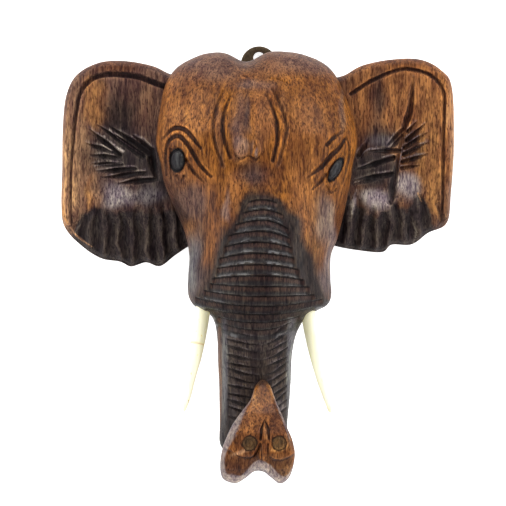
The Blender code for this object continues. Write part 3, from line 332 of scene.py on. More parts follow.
earShape = {
    "front": 23.0, "back": 11.0, "rimRound": 2.6, "backRound": 2.0,  # depths from the wall, fall of the rims
    "sweep": 4.0, "sweepSpan": (50.0, 105.0),  # how far the ear comes forward, and between which distances
    "swells": ((78.0, -58.0, 18.0, 30.0, -3.4), (72.0, -82.5, 22.0, 8.0, 3.2)), "lean": 0.3,
    "fall": 4.0, "fallSpan": (-82.0, -112.0),  # how far the lower edge falls back, and between which heights
    "grid": (130, 430),  # rings, columns
    "rim": (  # past the front: share of the way out, share of the way from front to back
        (0.995, 0.12), (1.0, 0.35), (1.0, 0.7), (0.995, 0.9), (0.985, 1.0), (0.95, 1.0), (0.8, 1.0),
        (0.6, 1.0), (0.4, 1.0), (0.2, 1.0),
    ),
}
earLeft = {
    "centre": (-70.0, -56.0),
    "slivers": (  # pale golden lines at the rim, then painted highlights along the strokes: tone, line, widths
        ("gold", ((-105.2, -80.0), (-105.4, -86.0), (-103.0, -91.5)), (1.2, 2.0, 1.0)),
        ("honey", ((-102.6, -92.0), (-98.4, -98.0), (-90.0, -104.0)), (1.0, 1.4, 0.6)),
        # painted highlights: pale glints along the upper edges of the fan's strokes
        ("paintedSheen", ((-81.0, -40.6), (-75.0, -46.0), (-64.0, -53.6)), (0.5, 0.8, 0.4)),
        ("paintedSheen", ((-86.3, -41.4), (-79.0, -48.4), (-72.5, -52.8)), (0.4, 0.7, 0.9)),
        ("paintedSheen", ((-85.6, -48.4), (-79.6, -51.8)), (0.5, 0.9)),
        ("paintedLilacSheen", ((-90.0, -60.2), (-81.0, -59.2), (-74.4, -58.8)), (0.3, 0.6, 0.5)),
    ),
    "scorchTop": (  # upper limit of the scorched part
        (-101.0, -98.0), (-96.8, -88.2), (-88.5, -82.1), (-84.7, -83.7), (-77.2, -85.9), (-69.6, -84.4),
        (-62.0, -84.4), (-52.9, -85.1), (-46.9, -83.7),
    ),
    "edge": (
        (-24.0, -8.0), (-40.0, -10.0), (-47.5, -10.4), (-58.0, -5.8), (-73.0, -3.2), (-86.5, -4.2),
        (-98.2, -10.6), (-104.0, -21.4), (-106.0, -38.0), (-106.4, -62.0), (-106.8, -81.0), (-105.4, -92.6),
        (-98.2, -101.6), (-86.6, -109.8), (-75.5, -112.0), (-69.5, -114.6), (-61.5, -112.4), (-53.8, -114.4),
        (-46.0, -108.8), (-38.0, -103.5), (-24.0, -96.0),
    ),
    "cuts": (
        (((-51.0, -17.2), (-57.0, -15.0), (-65.0, -12.2), (-74.0, -11.0), (-82.0, -10.9), (-88.6, -12.6),
          (-93.4, -16.2),
          (-96.9, -22.0), (-98.6, -31.0), (-100.1, -44.0), (-101.3, -59.0), (-101.6, -75.0), (-101.2, -91.0)),
          (4.0, 3.6, 2.4, 2.2), 1.5),
        (((-58.6, -52.4), (-57.0, -60.2), (-55.0, -67.6)), (5.4, 4.6, 2.2), 2.2),
        (((-68.0, -43.8), (-58.6, -52.0)), (1.0, 4.2, 4.2), 2.0),
        (((-80.0, -39.2), (-59.4, -53.6)), (1.0, 4.2, 4.8), 2.2),
        (((-87.0, -38.4), (-62.8, -54.8)), (1.0, 4.0, 4.2), 2.0),
        (((-91.8, -40.4), (-75.6, -54.4)), (1.0, 3.5, 3.5), 1.7),
        (((-94.0, -48.0), (-79.4, -53.0)), (0.8, 3.5, 2.0), 1.6),
        (((-91.8, -54.4), (-75.6, -56.0)), (0.8, 3.5, 2.2), 1.6),
        (((-90.0, -59.2), (-74.4, -59.6)), (0.8, 3.5, 2.2), 1.6),
        (((-88.0, -63.4), (-67.0, -62.0)), (0.8, 3.8, 2.8), 1.8),
        (((-85.0, -66.8), (-61.6, -64.2)), (0.8, 4.0, 2.8), 1.9),
        (((-76.4, -69.8), (-55.6, -67.6)), (0.8, 4.0, 2.8), 1.9),
    ),
    "flutes": (  # top, bottom, width at each, depth
        ((-97.0, -90.0), (-108.0, -100.0), 3.0, 9.0, 1.7), ((-92.4, -86.0), (-98.0, -110.0), 4.5, 9.0, 2.0),
        ((-86.4, -80.0), (-88.0, -117.0), 3.0, 9.5, 2.3), ((-80.0, -85.5), (-79.0, -120.0), 4.5, 8.5, 2.4),
        ((-73.0, -85.0), (-71.4, -124.0), 4.5, 8.0, 2.6), ((-65.6, -84.0), (-63.0, -122.0), 4.5, 8.6, 2.7),
        ((-57.6, -84.5), (-55.0, -122.0), 4.5, 8.4, 2.7), ((-50.4, -84.0), (-47.0, -118.0), 4.5, 8.4, 2.5),
        ((-44.0, -83.0), (-38.0, -112.0), 4.5, 8.4, 2.3),
    ),
}
earRight = {
    "centre": (68.0, -54.0),
    "slivers": (
        ("gold", ((92.4, -78.4), (95.2, -84.0), (97.4, -90.0)), (1.0, 2.2, 1.2)),
        ("honey", ((85.6, -75.0), (87.6, -79.6)), (1.0, 0.6)),
        # painted highlights: a pale line down a lower ridge and pale glints along the strokes' edges
        ("paintedAshSheen", ((82.6, -90.5), (84.6, -96.0), (83.6, -102.0)), (0.5, 1.2, 0.8)),
        ("paintedLilacSheen", ((54.4, -56.0), (58.4, -51.4), (66.0, -50.9), (75.4, -51.2)), (0.5, 1.0, 0.8, 0.4)),
        ("paintedLilacSheen", ((75.2, -62.4), (76.3, -56.5), (77.4, -50.0)), (0.5, 0.6, 0.4)),
        ("paintedLilacSheen", ((79.0, -48.6), (85.0, -44.5), (89.7, -41.6)), (0.3, 0.6, 0.3)),
        ("paintedLilacSheen", ((79.6, -52.6), (85.5, -50.0), (90.2, -47.8)), (0.3, 0.6, 0.3)),
        ("paintedLilacSheen", ((52.4, -73.0), (51.4, -79.0), (50.4, -86.0)), (1.0, 2.6, 1.4)),
    ),
    "scorchTop": (
        (48.2, -73.6), (50.3, -80.8), (55.4, -83.0), (63.3, -88.0), (69.8, -83.0), (72.7, -80.8),
        (79.9, -84.4), (84.3, -76.4), (87.2, -75.7), (91.4, -82.0), (93.6, -92.0), (97.0, -102.0),
    ),
    "edge": (
        (22.0, -8.0), (36.0, -12.0), (45.4, -11.2), (56.0, -5.6), (72.0, -2.4), (87.4, -2.6), (98.4, -8.4),
        (104.2, -18.0), (105.3, -48.0), (103.6, -76.0), (101.4, -91.2), (91.6, -96.4), (82.8, -102.6),
        (72.0, -102.8), (66.8, -106.8), (54.0, -105.8), (42.0, -103.6), (32.0, -100.0), (22.0, -94.0),
    ),
    "cuts": (
        (((49.8, -21.4), (55.0, -18.0), (62.0, -13.8), (70.0, -10.2), (77.6, -8.3), (84.8, -8.8),
          (91.6, -11.3),
          (96.6, -15.6), (99.5, -21.6), (99.6, -29.0), (99.2, -42.0), (99.0, -57.0), (98.8, -72.0),
          (98.0, -90.0)),
         (3.0, 2.6, 2.4, 2.0), 1.3),
        (((83.2, -12.4), (81.4, -29.4), (78.6, -38.4), (75.8, -49.8), (74.6, -60.4), (73.2, -66.2),
          (70.6, -79.4)),
         (1.4, 3.6, 4.6, 1.6, 2.6, 4.4, 5.0), 1.8),
        (((80.6, -41.6), (84.8, -36.6)), (3.0, 1.0), 1.5),
        (((80.0, -46.4), (89.4, -37.8)), (3.5, 3.0, 1.0), 1.7),
        (((79.0, -50.2), (90.6, -42.6)), (3.5, 3.0, 1.0), 1.7),
        (((78.6, -54.0), (91.2, -47.8)), (3.5, 3.0, 1.0), 1.7),
        (((77.8, -58.2), (91.0, -54.2)), (3.5, 3.0, 1.0), 1.7),
        (((77.4, -61.6), (86.4, -60.2)), (3.2, 2.5, 1.0), 1.5),
        (((69.0, -49.4), (77.8, -41.0)), (1.0, 3.5, 3.5), 1.8),
        (((70.4, -51.8), (77.4, -44.0)), (1.0, 3.2, 3.2), 1.7),
        (((59.0, -52.4), (75.8, -52.0)), (1.0, 3.8, 3.2), 1.8),
        (((52.0, -62.6), (72.8, -56.0)), (1.0, 4.0, 3.5), 1.9),
        (((51.2, -68.2), (72.2, -64.8)), (1.0, 4.0, 3.5), 1.8),
        (((50.6, -70.4), (67.0, -66.4)), (1.0, 3.2, 2.0), 1.4),
        (((53.8, -54.8), (59.0, -45.4)), (4.2, 3.2, 1.0), 1.5),
    ),
    "flutes": (
        ((46.0, -83.0), (41.0, -112.0), 4.5, 8.4, 2.3), ((53.8, -80.0), (50.0, -114.0), 4.0, 8.4, 2.5),
        ((60.8, -84.0), (58.0, -116.0), 4.5, 8.4, 2.6), ((67.2, -86.0), (66.4, -116.0), 4.5, 8.4, 2.5),
        ((73.6, -80.4), (75.0, -114.0), 4.0, 8.4, 2.4), ((80.4, -85.4), (83.4, -112.0), 4.5, 8.0, 2.2),
        ((87.4, -76.4), (91.6, -108.0), 3.0, 8.4, 2.1), ((96.4, -81.0), (100.6, -100.0), 2.6, 7.4, 1.6),
    ),
}


def earSurface(shape, ear):
    # rings out over the dished front, round the rim and back in behind
    ringCount, columnCount = (int(n * fine) for n in shape["grid"])
    rim = roundLoop(ear["edge"], columnCount)
    shares, turns = zip(*shape["rim"])
    share = np.concatenate([np.linspace(0.01, 0.985, ringCount), shares])
    turned = np.concatenate([np.zeros(ringCount), turns])
    across = ear["centre"][0] + share[:, None] * (rim[None, :, 0] - ear["centre"][0])
    height = ear["centre"][1] + share[:, None] * (rim[None, :, 1] - ear["centre"][1])
    root, end = shape["sweepSpan"]
    sweep = shape["sweep"] * np.clip((np.abs(across) - root) / (end - root), 0.0, 1.0) ** 2
    top, bottom = shape["fallSpan"]
    fall = shape["fall"] * np.clip((top - height) / (top - bottom), 0.0, 1.0) ** 1.3
    x = across + wander(across, height, 11, 21.0, 0.3)
    z = height + wander(across, height, 12, 17.0, 0.3)
    fluteX, fluteZ = x + wander(across, height, 15, 14.0, 1.0), z + wander(across, height, 16, 6.0, 1.2)
    flutes = fluteDepth(ear["flutes"], fluteX, fluteZ)
    carving = np.maximum(cutDepth(ear["cuts"], x, z, shape["lean"]), flutes)
    front = shape["front"] + sweep + swell(shape["swells"], np.abs(across), height) - fall - carving
    front += wander(across, height, 13, 15.0, 0.15) + wander(across, height, 14, 7.0, 0.06)
    rounding = shape["rimRound"] * np.clip((share[:, None] - 0.93) / 0.055, 0.0, 1.0) ** 2
    behind = shape["back"] + sweep + shape["backRound"] * np.clip((share[:, None] - 0.6) / 0.4, 0.0, 1.0) ** 2
    depth = front - rounding
    depth = depth + (behind - depth) * turned[:, None]
    return np.stack([across, -depth, height], axis=2)


tipShape = {
    "edge": (
        (1.4, -173.4), (-2.0, -176.7), (-4.6, -183.4), (-9.5, -189.8), (-13.6, -195.5), (-16.8, -201.9),
        (-19.2, -208.5), (-20.3, -216.5), (-18.9, -223.8), (-12.6, -226.4), (-7.4, -223.8), (-2.8, -220.4),
        (2.2, -220.4), (6.0, -223.4), (11.0, -226.6), (15.9, -222.2), (18.3, -212.0), (17.1, -203.9),
        (14.6, -198.0), (11.6, -190.8), (8.3, -183.4), (5.4, -176.2),
    ),
    "centre": (0.0, -204.0),
    "face": ((-228.0, 76.0), (-218.0, 81.0), (-210.0, 82.0), (-200.0, 79.5), (-190.0, 74.0), (-180.0, 67.0),
             (-172.0, 61.5)),
    "root": 44.0,  # depth of the first ring, inside the trunk
    # share of the way out, share of the way forward
    "sides": ((0.60, 0.0), (0.76, 0.22), (0.89, 0.46), (0.965, 0.66), (0.995, 0.80), (1.0, 0.88)),
    "notch": (0.6, -219.5, 6.0, 5.4, -4.0),
    "easing": ((-212.0, 3.2), (-219.0, 6.0)),  # how far in from the rim its rounding starts, above and below
    "ledge": ((-19.0, -206.0), (-14.3, -208.6), (-11.6, -211.0), (-7.7, -212.5), (-3.4, -211.8),
              (-1.4, -208.6), (0.4, -205.1),
              (4.8, -208.0), (5.2, -211.8), (8.0, -213.4), (11.2, -213.7), (15.1, -212.2), (19.0, -209.6)),
    "ledgeFall": 1.7, "column": (2.6, 2.0),
    # inner edge of the pale grey strip painted as a reflection down the tip's left side
    "sideReflection": ((-5.6, -184.0), (-7.6, -189.6), (-9.6, -193.8), (-11.8, -198.9), (-13.9, -203.2),
              (-16.5, -208.3), (-17.9, -213.4),
              (-17.6, -219.0), (-16.4, -222.0)),
    # painted highlights: pale glint lines along the tip's right edge and upper left edge
    "slivers": (
        ("paintedLilacSheen", ((6.2, -177.6), (9.4, -186.6), (13.0, -195.6), (15.6, -203.0)), (0.5, 0.9, 0.8)),
        ("paintedLilacSheen", ((-2.6, -178.6), (-5.8, -186.4)), (0.5, 0.9)),
    ),
    # upper edge of the paler tone painted as a reflection on the lobes' undersides
    "under": ((-17.8, -219.0), (-16.4, -221.2), (-9.6, -222.0), (-7.1, -219.8), (-5.0, -217.3),
              (-2.8, -214.9), (-0.3, -213.6),
              (2.7, -214.4), (6.1, -216.6), (8.3, -219.4), (10.4, -221.6), (13.0, -222.8), (15.1, -221.2),
              (17.0, -217.6)),
    "cuts": (
        (((2.6, -193.2), (1.2, -197.6), (0.6, -203.0)), (0.8, 2.0, 1.6), 1.3),
        (((2.6, -193.2), (4.4, -197.6), (4.8, -202.6)), (0.8, 2.0, 1.6), 1.3),
        (((-14.3, -208.6), (-11.6, -211.0), (-7.7, -212.5), (-3.4, -211.8), (-1.4, -208.6), (0.4, -205.1)),
         (0.8, 1.6, 1.6, 1.2), 0.8),
        (((18.0, -210.4), (15.1, -212.2), (11.2, -213.7), (8.0, -213.4), (5.2, -211.8)), (1.2, 1.6, 1.6, 1.0),
         0.8),
        (((0.8, -205.5), (1.0, -211.0), (1.0, -215.0)), (1.4, 1.4, 0.8), 0.7),
        (((4.4, -205.5), (4.2, -211.0), (4.4, -215.0)), (1.4, 1.4, 0.8), 0.7),
    ),
    "nostrils": ((-5.1, -204.9), (10.1, -204.9)),
    "nostrilRadius": 3.8, "nostrilDepth": 1.6,
    "nostrilRings": ((0.5, 0.9, 0.4), (0.25, 0.5, 0.3), (0.6, 0.0, 0.5)),  # rise, share of the radius, width
    "grid": (84, 220),
}


def tipSurface(shape):
    # rings out along the sides from inside the trunk, over a round edge and in over the sloping face,
    # which steps down below the ledge under the nostrils and rounds off towards its rim along a quarter circle
    faceCount, columnCount = (int(n * fine) for n in shape["grid"])
    rim = roundLoop(shape["edge"], columnCount)
    sides = along(shape["sides"], np.linspace(0, 1, 30))
    share = np.concatenate([sides[:, 0], np.linspace(0.998, 0.01, faceCount)])
    reach = np.concatenate([sides[:, 1], np.ones(faceCount)])
    across = shape["centre"][0] + share[:, None] * (rim[None, :, 0] - shape["centre"][0])
    height = shape["centre"][1] + share[:, None] * (rim[None, :, 1] - shape["centre"][1])
    face = np.interp(height, *zip(*shape["face"]))
    face += swell((shape["notch"],), across, height) - cutDepth(shape["cuts"], across, height)
    ledge = np.interp(across, *zip(*shape["ledge"]))
    middle, halfWidth = shape["column"]
    lower = np.clip(ledge - height, 0.0, 1.0)
    lower *= np.clip((np.abs(across - middle) - halfWidth) / 0.8, 0.0, 1.0)
    face -= shape["ledgeFall"] * lower - wander(across, height, 21, 9.0, 0.12)
    inward = (1.0 - share[:, None]) * np.hypot(rim[:, 0] - shape["centre"][0], rim[:, 1] - shape["centre"][1])
    (high, narrow), (low, wide) = shape["easing"]
    easing = narrow + (wide - narrow) * np.clip((high - height) / (high - low), 0.0, 1.0)
    near = np.clip(1.0 - inward / easing, 0.0, 1.0)
    face -= easing * (1.0 - np.sqrt(1.0 - 0.96 * near**2)) * (reach[:, None] > 0.97)
    depth = shape["root"] + (face - shape["root"]) * reach[:, None]
    return np.stack([across, -depth, height], axis=2)


def meshObject(name, points, faces):
    # new linked object with the given points and faces
    data = bpy.data.meshes.new(name)
    data.from_pydata(points.tolist(), [], faces)
    data.update()
    made = bpy.data.objects.new(name, data)
    bpy.context.scene.collection.objects.link(made)
    return made


def ringMesh(name, rings):
    # closed mesh of rings in millimetres, a middle point closes each end;
    # the sign of its volume says whether the faces must be turned outwards
    rows, columns = rings.shape[:2]
    points = np.concatenate([rings.reshape(-1, 3), rings[:1].mean(axis=1), rings[-1:].mean(axis=1)]) * mm
    index = np.arange(rows * columns).reshape(rows, columns)
    after = np.roll(index, -1, axis=1)
    quads = np.stack([index[:-1], after[:-1], after[1:], index[1:]], axis=-1).reshape(-1, 4)
    first = np.full(columns, rows * columns)
    capFirst = np.stack([first, after[0], index[0]], axis=-1)
    capLast = np.stack([first + 1, index[-1], after[-1]], axis=-1)
    a, b, c, d = (points[quads[:, k]] for k in range(4))
    volume = np.sum(a * np.cross(b, c)) + np.sum(a * np.cross(c, d))
    if volume < 0:
        quads, capFirst, capLast = quads[:, ::-1], capFirst[:, ::-1], capLast[:, ::-1]
    return meshObject(name, points, quads.tolist() + capFirst.tolist() + capLast.tolist())


def sweepRings(path, radii, sides):
    # circles of the given radii carried along a path
    ahead = np.gradient(path, axis=0)
    ahead /= np.linalg.norm(ahead, axis=1, keepdims=True)
    sideways = np.cross(ahead, [0.0, 1.0, 0.0])
    sideways /= np.linalg.norm(sideways, axis=1, keepdims=True)
    forward = np.cross(sideways, ahead)
    angle = np.linspace(0.0, 2 * math.pi, sides, endpoint=False)
    ring = np.cos(angle)[None, :, None] * sideways[:, None] + np.sin(angle)[None, :, None] * forward[:, None]
    return path[:, None] + ring * np.asarray(radii)[:, None, None]


def turnedRings(profile, across, height, sides):
    # a profile of radius and depth turned round a line along Y
    angle = np.linspace(0.0, 2 * math.pi, sides, endpoint=False)
    radius, depth = (np.asarray(profile, float)[:, k : k + 1] for k in range(2))
    shape = np.broadcast_shapes(radius.shape, angle[None].shape)
    across, height = across + radius * np.cos(angle), height + radius * np.sin(angle)
    return np.stack([across, np.broadcast_to(-depth, shape), height], axis=2)


def bake(target):
    # the modifiers' result as the object's own mesh
    graph = bpy.context.evaluated_depsgraph_get()
    data = bpy.data.meshes.new_from_object(target.evaluated_get(graph))
    old = target.data
    target.modifiers.clear()
    target.data = data
    bpy.data.meshes.remove(old)


def combine(target, other, operation):
    # joins or cuts with a closed helper, then drops the helper
    step = target.modifiers.new("combine", "BOOLEAN")
    step.operation, step.solver, step.object = operation, "MANIFOLD", other
    bake(target)
    bpy.data.objects.remove(other, do_unlink=True)


tuskShape = {
    "left": ((-28.4, 41.0, -126.5), (-30.2, 42.0, -140.0), (-32.2, 43.5, -152.0), (-34.4, 45.5, -163.5),
             (-36.4, 47.5, -173.5), (-38.0, 49.0, -184.0), (-40.2, 50.0, -192.4)),
    "right": ((24.6, 41.0, -127.5), (26.6, 42.0, -142.5), (28.6, 43.5, -153.0), (31.2, 45.5, -165.0),
              (33.6, 47.5, -176.0), (35.6, 49.0, -184.5), (38.0, 50.0, -193.4)),
    "taper": (0.92, 0.97, 1.00, 0.92, 0.72, 0.48, 0.24),
    "diameter": 8.0, "length": 66.0, "clearance": 0.3, "peg": 13.0,
    "crackHeight": {"left": -155.3, "right": -300.0},  # the right tusk ends above its own, so it has none
    "crackWidth": 0.35, "crackDepth": 0.12, "crackStain": 0.95,
    "tipStain": 0.3, "tipLength": 9.0,  # the last stretch browns
    "grid": (120, 44),  # rings, sides
}


def tuskPath(line, length, places):
    # across, depth and height through the points, run out to the tusk's own length
    line = np.asarray(line) * np.array([1.0, -1.0, 1.0])
    steps = np.linalg.norm(np.diff(line, axis=0), axis=1).sum()
    return along(line[0] + (line - line[0]) * length / steps, places)


hangerShape = {
    "plateDiameter": 20.0, "plateThickness": 1.2, "eyeDiameter": 6.2, "eyeRise": 3.7,
    "screwDiameter": 2.2, "headDiameter": 4.2, "headHeight": 0.6, "screwLength": 9.0,
    "spacing": 10.0, "drop": 5.5, "clearance": 0.3, "edge": 0.25, "sides": 160,
    "threadDepth": 0.12, "threadTurns": 12,  # depth as a share of the radius
    "slotWidth": 0.6, "slotDepth": 0.3,
}


def hangerDepths(shape):
    # depths in front of the wall: floor of the rebate, front and back of the plate
    floor = shape["plateThickness"] + 2 * shape["clearance"] + shape["headHeight"]
    front = floor - shape["clearance"]
    return floor, front, front - shape["plateThickness"]


def screwPlaces(shape):
    # across and height of both screws, on one level below the plate's middle
    return [(side * shape["spacing"] / 2, -shape["eyeRise"] - shape["drop"]) for side in (-1, 1)]


def makeCarvedHead():
    # head, ears and tip joined, cut by nostrils, sockets, rebate, pilot holes and the wall plane, and thinned
    print("carved head: surfaces")
    head = ringMesh("carvedHead", headSurface(headShape, faceCuts))
    for name, ear in (("earLeft", earLeft), ("earRight", earRight)):
        combine(head, ringMesh(name, earSurface(earShape, ear)), "UNION")
    combine(head, ringMesh("tip", tipSurface(tipShape)), "UNION")
    print("carved head: joined,", len(head.data.vertices), "points")
    levels, depths = zip(*tipShape["face"])
    radius = tipShape["nostrilRadius"]
    for across, height in tipShape["nostrils"]:
        floor = float(np.interp(height, levels, depths)) - tipShape["nostrilDepth"]
        reach = np.linspace(radius, 0.1, 24)
        ripple = np.zeros_like(reach)
        for rise, middle, width in tipShape["nostrilRings"]:
            ripple += rise * np.exp(-(((reach - middle * radius) / width) ** 2))
        bore = [(radius, floor + 20.0)] + list(zip(reach, floor - ripple))
        combine(head, ringMesh("bore", turnedRings(bore, across, height, 48)), "DIFFERENCE")
    for side in ("left", "right"):
        places = np.linspace(0.0, 2 * tuskShape["peg"] / tuskShape["length"], 12)
        path = tuskPath(tuskShape[side], tuskShape["length"], places)
        path[0] += (path[0] - path[1]) * 0.2
        radii = along(tuskShape["taper"], places)[:, 0] * tuskShape["diameter"] / 2 + tuskShape["clearance"]
        combine(head, ringMesh("socket", sweepRings(path, radii, 40)), "DIFFERENCE")
    floor = hangerDepths(hangerShape)[0]
    rebate = hangerShape["plateDiameter"] / 2 + hangerShape["clearance"]
    drum = turnedRings(((rebate, -floor), (rebate, floor)), 0.0, -hangerShape["eyeRise"], 96)
    combine(head, ringMesh("rebate", drum), "DIFFERENCE")
    hole = hangerShape["screwDiameter"] / 2 + hangerShape["clearance"]
    for across, height in screwPlaces(hangerShape):
        pilot = ((hole, floor / 2), (hole, hangerShape["screwLength"] + hangerShape["clearance"]))
        combine(head, ringMesh("pilot", turnedRings(pilot, across, height, 24)), "DIFFERENCE")
    corners = np.array([(-150.0, 0.0, -300.0), (150.0, 0.0, -300.0), (150.0, 0.0, 80.0), (-150.0, 0.0, 80.0)])
    combine(head, ringMesh("wallSide", np.stack([corners, corners + (0.0, 60.0, 0.0)])), "DIFFERENCE")
    triangles = sum(len(face.vertices) - 2 for face in head.data.polygons)
    print("carved head: cut,", triangles, "triangles")
    thin = head.modifiers.new("thin", "DECIMATE")
    thin.ratio = min(1.0, headShape["triangles"] * fine * fine / triangles)
    bake(head)
    return head


def readPoints(data, kind="co"):
    # one number row per point, as an array
    flat = np.empty(len(data.vertices) * 3)
    if kind == "co":
        data.vertices.foreach_get("co", flat)
    else:
        data.vertex_normals.foreach_get("vector", flat)
    return flat.reshape(-1, 3)


def keepInside(target, node):
    # points held within the box of the CAD node
    low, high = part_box(node)
    points = np.clip(readPoints(target.data), np.array(low), np.array(high))
    target.data.vertices.foreach_set("co", points.ravel())
    target.data.update()


def edgeWear(data, rounds):
    # how far each point stands out from the mean of its neighbours along its normal, spread over a few rounds
    points, normals = readPoints(data), readPoints(data, "normal")
    edges = np.empty(len(data.edges) * 2, int)
    data.edges.foreach_get("vertices", edges)
    a, b = edges.reshape(-1, 2).T
    count = np.maximum(np.bincount(a, minlength=len(points)) + np.bincount(b, minlength=len(points)), 1)
    reach = np.linalg.norm(points[a] - points[b], axis=1)
    lift = np.sum((points[a] - points[b]) * normals[a], axis=1) / reach
    drop = np.sum((points[b] - points[a]) * normals[b], axis=1) / reach
    total = np.bincount(a, lift, len(points)) + np.bincount(b, drop, len(points))
    value = total / count
    for _ in range(rounds):
        spread = np.bincount(a, value[b], len(points)) + np.bincount(b, value[a], len(points))
        value = 0.5 * value + 0.5 * spread / count
    return value


def setAttribute(data, name, values):
    # one number or one colour for each point, as the values have it
    kind = "FLOAT_COLOR" if values.ndim == 2 else "FLOAT"
    made = data.attributes.new(name, kind, "POINT")
    if kind == "FLOAT_COLOR":
        made.data.foreach_set("color", np.column_stack([values, np.ones(len(values))]).ravel())
    else:
        made.data.foreach_set("value", values)


# wood tones as linear colours; the pale greys and the lilac stand for painted sheen, painted highlights and painted
# reflections, not for the wood's colour
woodTones = {
    "gold": (0.330, 0.150, 0.052), "golden": (0.225, 0.086, 0.028), "orange": (0.180, 0.064, 0.019),
    "tan": (0.170, 0.078, 0.034), "russet": (0.098, 0.034, 0.015), "brown": (0.062, 0.032, 0.026),
    "mauve": (0.122, 0.064, 0.048), "paintedAshSheen": (0.190, 0.155, 0.130), "umber": (0.026, 0.0175, 0.0155),
    "soot": (0.034, 0.027, 0.027), "raw": (0.280, 0.160, 0.085), "bronze": (0.150, 0.070, 0.026),
    "slate": (0.019, 0.018, 0.020), "amber": (0.185, 0.064, 0.011), "honey": (0.345, 0.186, 0.098),
    "paintedLilacSheen": (0.205, 0.168, 0.166), "char": (0.036, 0.026, 0.025), "paintedPewterSheen": (0.120, 0.100, 0.108),
    "paintedSheen": (0.370, 0.310, 0.298), "paintedFogSheen": (0.155, 0.155, 0.160),
}
# dabs of tone in painting order: tone, across, height, half-width, half-height, strength
headDabs = (
    ("amber", 10.0, -40.0, 60.0, 60.0, 1.0),
    ("russet", -34.0, -16.0, 14.0, 12.0, 0.5),
    ("golden", -36.0, -36.0, 14.0, 14.0, 0.7),
    ("gold", -42.0, -35.0, 8.0, 5.0, 0.25),
    ("gold", 14.0, -27.0, 2.6, 7.0, 0.6),
    ("gold", 27.0, -36.0, 12.0, 10.0, 0.3),
    # painted highlight: a pale line down the right temple's edge
    ("paintedAshSheen", 43.5, -30.0, 2.0, 14.0, 0.35),
    ("mauve", -30.0, -3.0, 28.0, 13.0, 0.9),
    ("mauve", 26.0, -3.0, 26.0, 11.0, 0.9),
    ("brown", -7.0, -4.0, 10.0, 8.0, 0.6),
    ("orange", -8.0, -13.6, 4.0, 2.4, 0.9),
    ("mauve", -3.0, -18.5, 10.0, 4.0, 0.9),
    ("golden", 24.0, -50.0, 14.0, 26.0, 0.6),
    ("russet", 33.0, -28.0, 12.0, 14.0, 0.5),
    ("brown", -21.5, -40.0, 2.6, 22.0, 0.5),
    ("mauve", -10.5, -37.0, 4.0, 14.0, 0.8),
    ("brown", -6.0, -35.0, 2.4, 10.0, 0.9),
    ("golden", 2.0, -38.0, 6.0, 18.0, 0.9),
    # painted highlights: pale dabs on the medallion's two lower lobes
    ("paintedLilacSheen", -9.6, -53.0, 3.0, 5.0, 0.35),
    ("brown", -5.4, -52.0, 1.2, 5.0, 0.8),
    ("paintedLilacSheen", -1.8, -54.4, 1.3, 2.4, 0.6),
    # painted shade: darker brown and russet in the hollow under the medallion
    ("brown", -3.0, -66.5, 8.5, 8.5, 0.95),
    ("russet", 7.0, -66.0, 7.0, 8.0, 0.6),
    ("golden", -13.5, -76.0, 4.0, 14.0, 0.7),
    ("brown", -49.0, -84.0, 11.0, 26.0, 0.85),
    ("brown", -36.0, -80.0, 9.0, 9.0, 0.85),
    ("orange", -25.0, -88.0, 7.0, 20.0, 0.8),
    ("tan", -34.0, -98.0, 4.0, 16.0, 0.7),
    ("brown", -27.0, -96.0, 3.0, 12.0, 0.4),
    ("tan", 33.0, -90.0, 5.0, 16.0, 0.8),
    ("golden", 21.0, -84.0, 6.0, 20.0, 0.7),
    ("russet", 44.0, -90.0, 6.0, 20.0, 0.7),
    ("mauve", -36.0, -80.0, 8.0, 9.0, 0.85),
    ("umber", -43.0, -90.0, 6.0, 12.0, 0.75),
    # painted sheen: a pale line at the trunk's left side
    ("paintedLilacSheen", -17.6, -84.0, 1.2, 8.0, 0.45),
    ("mauve", -31.5, -96.0, 2.4, 16.0, 0.6),
    # painted sheen on the right cheek's side
    ("paintedLilacSheen", 35.5, -92.0, 4.0, 13.0, 0.35),
    ("paintedAshSheen", 35.0, -88.0, 3.5, 12.0, 0.4),
    ("umber", -30.0, -100.0, 3.0, 12.0, 0.35),
    ("brown", -33.0, -122.0, 16.0, 18.0, 0.9),
    ("brown", 36.0, -124.0, 12.0, 14.0, 0.75),
    # painted sheen: pale grey patches low on both cheeks
    ("paintedFogSheen", -35.5, -114.0, 5.4, 15.0, 0.85),
    ("paintedLilacSheen", 38.0, -106.0, 3.0, 14.0, 0.6),
    ("paintedPewterSheen", 34.0, -124.0, 6.0, 8.0, 0.6),
    ("tan", 34.0, -134.0, 5.0, 2.4, 0.8),
    ("orange", -25.0, -106.0, 4.0, 12.0, 0.6),
    ("bronze", 28.0, -106.0, 4.0, 16.0, 0.6),
)
trunkDabs = (
    # painted sheen: a faint grey haze at the trunk's top, pale lines painted as highlights along both its edges, and
    # a grey patch low on the right
    ("paintedPewterSheen", 0.0, -152.0, 15.0, 11.0, 0.07),
    ("paintedFogSheen", -18.4, -166.0, 1.8, 30.0, 0.75),
    ("tan", -20.9, -172.0, 1.2, 28.0, 0.9),
    ("mauve", -20.9, -155.0, 1.2, 8.0, 0.6),
    ("paintedFogSheen", 17.0, -168.0, 2.5, 34.0, 0.95),
    ("paintedPewterSheen", 10.8, -188.0, 2.6, 3.6, 0.6),
)
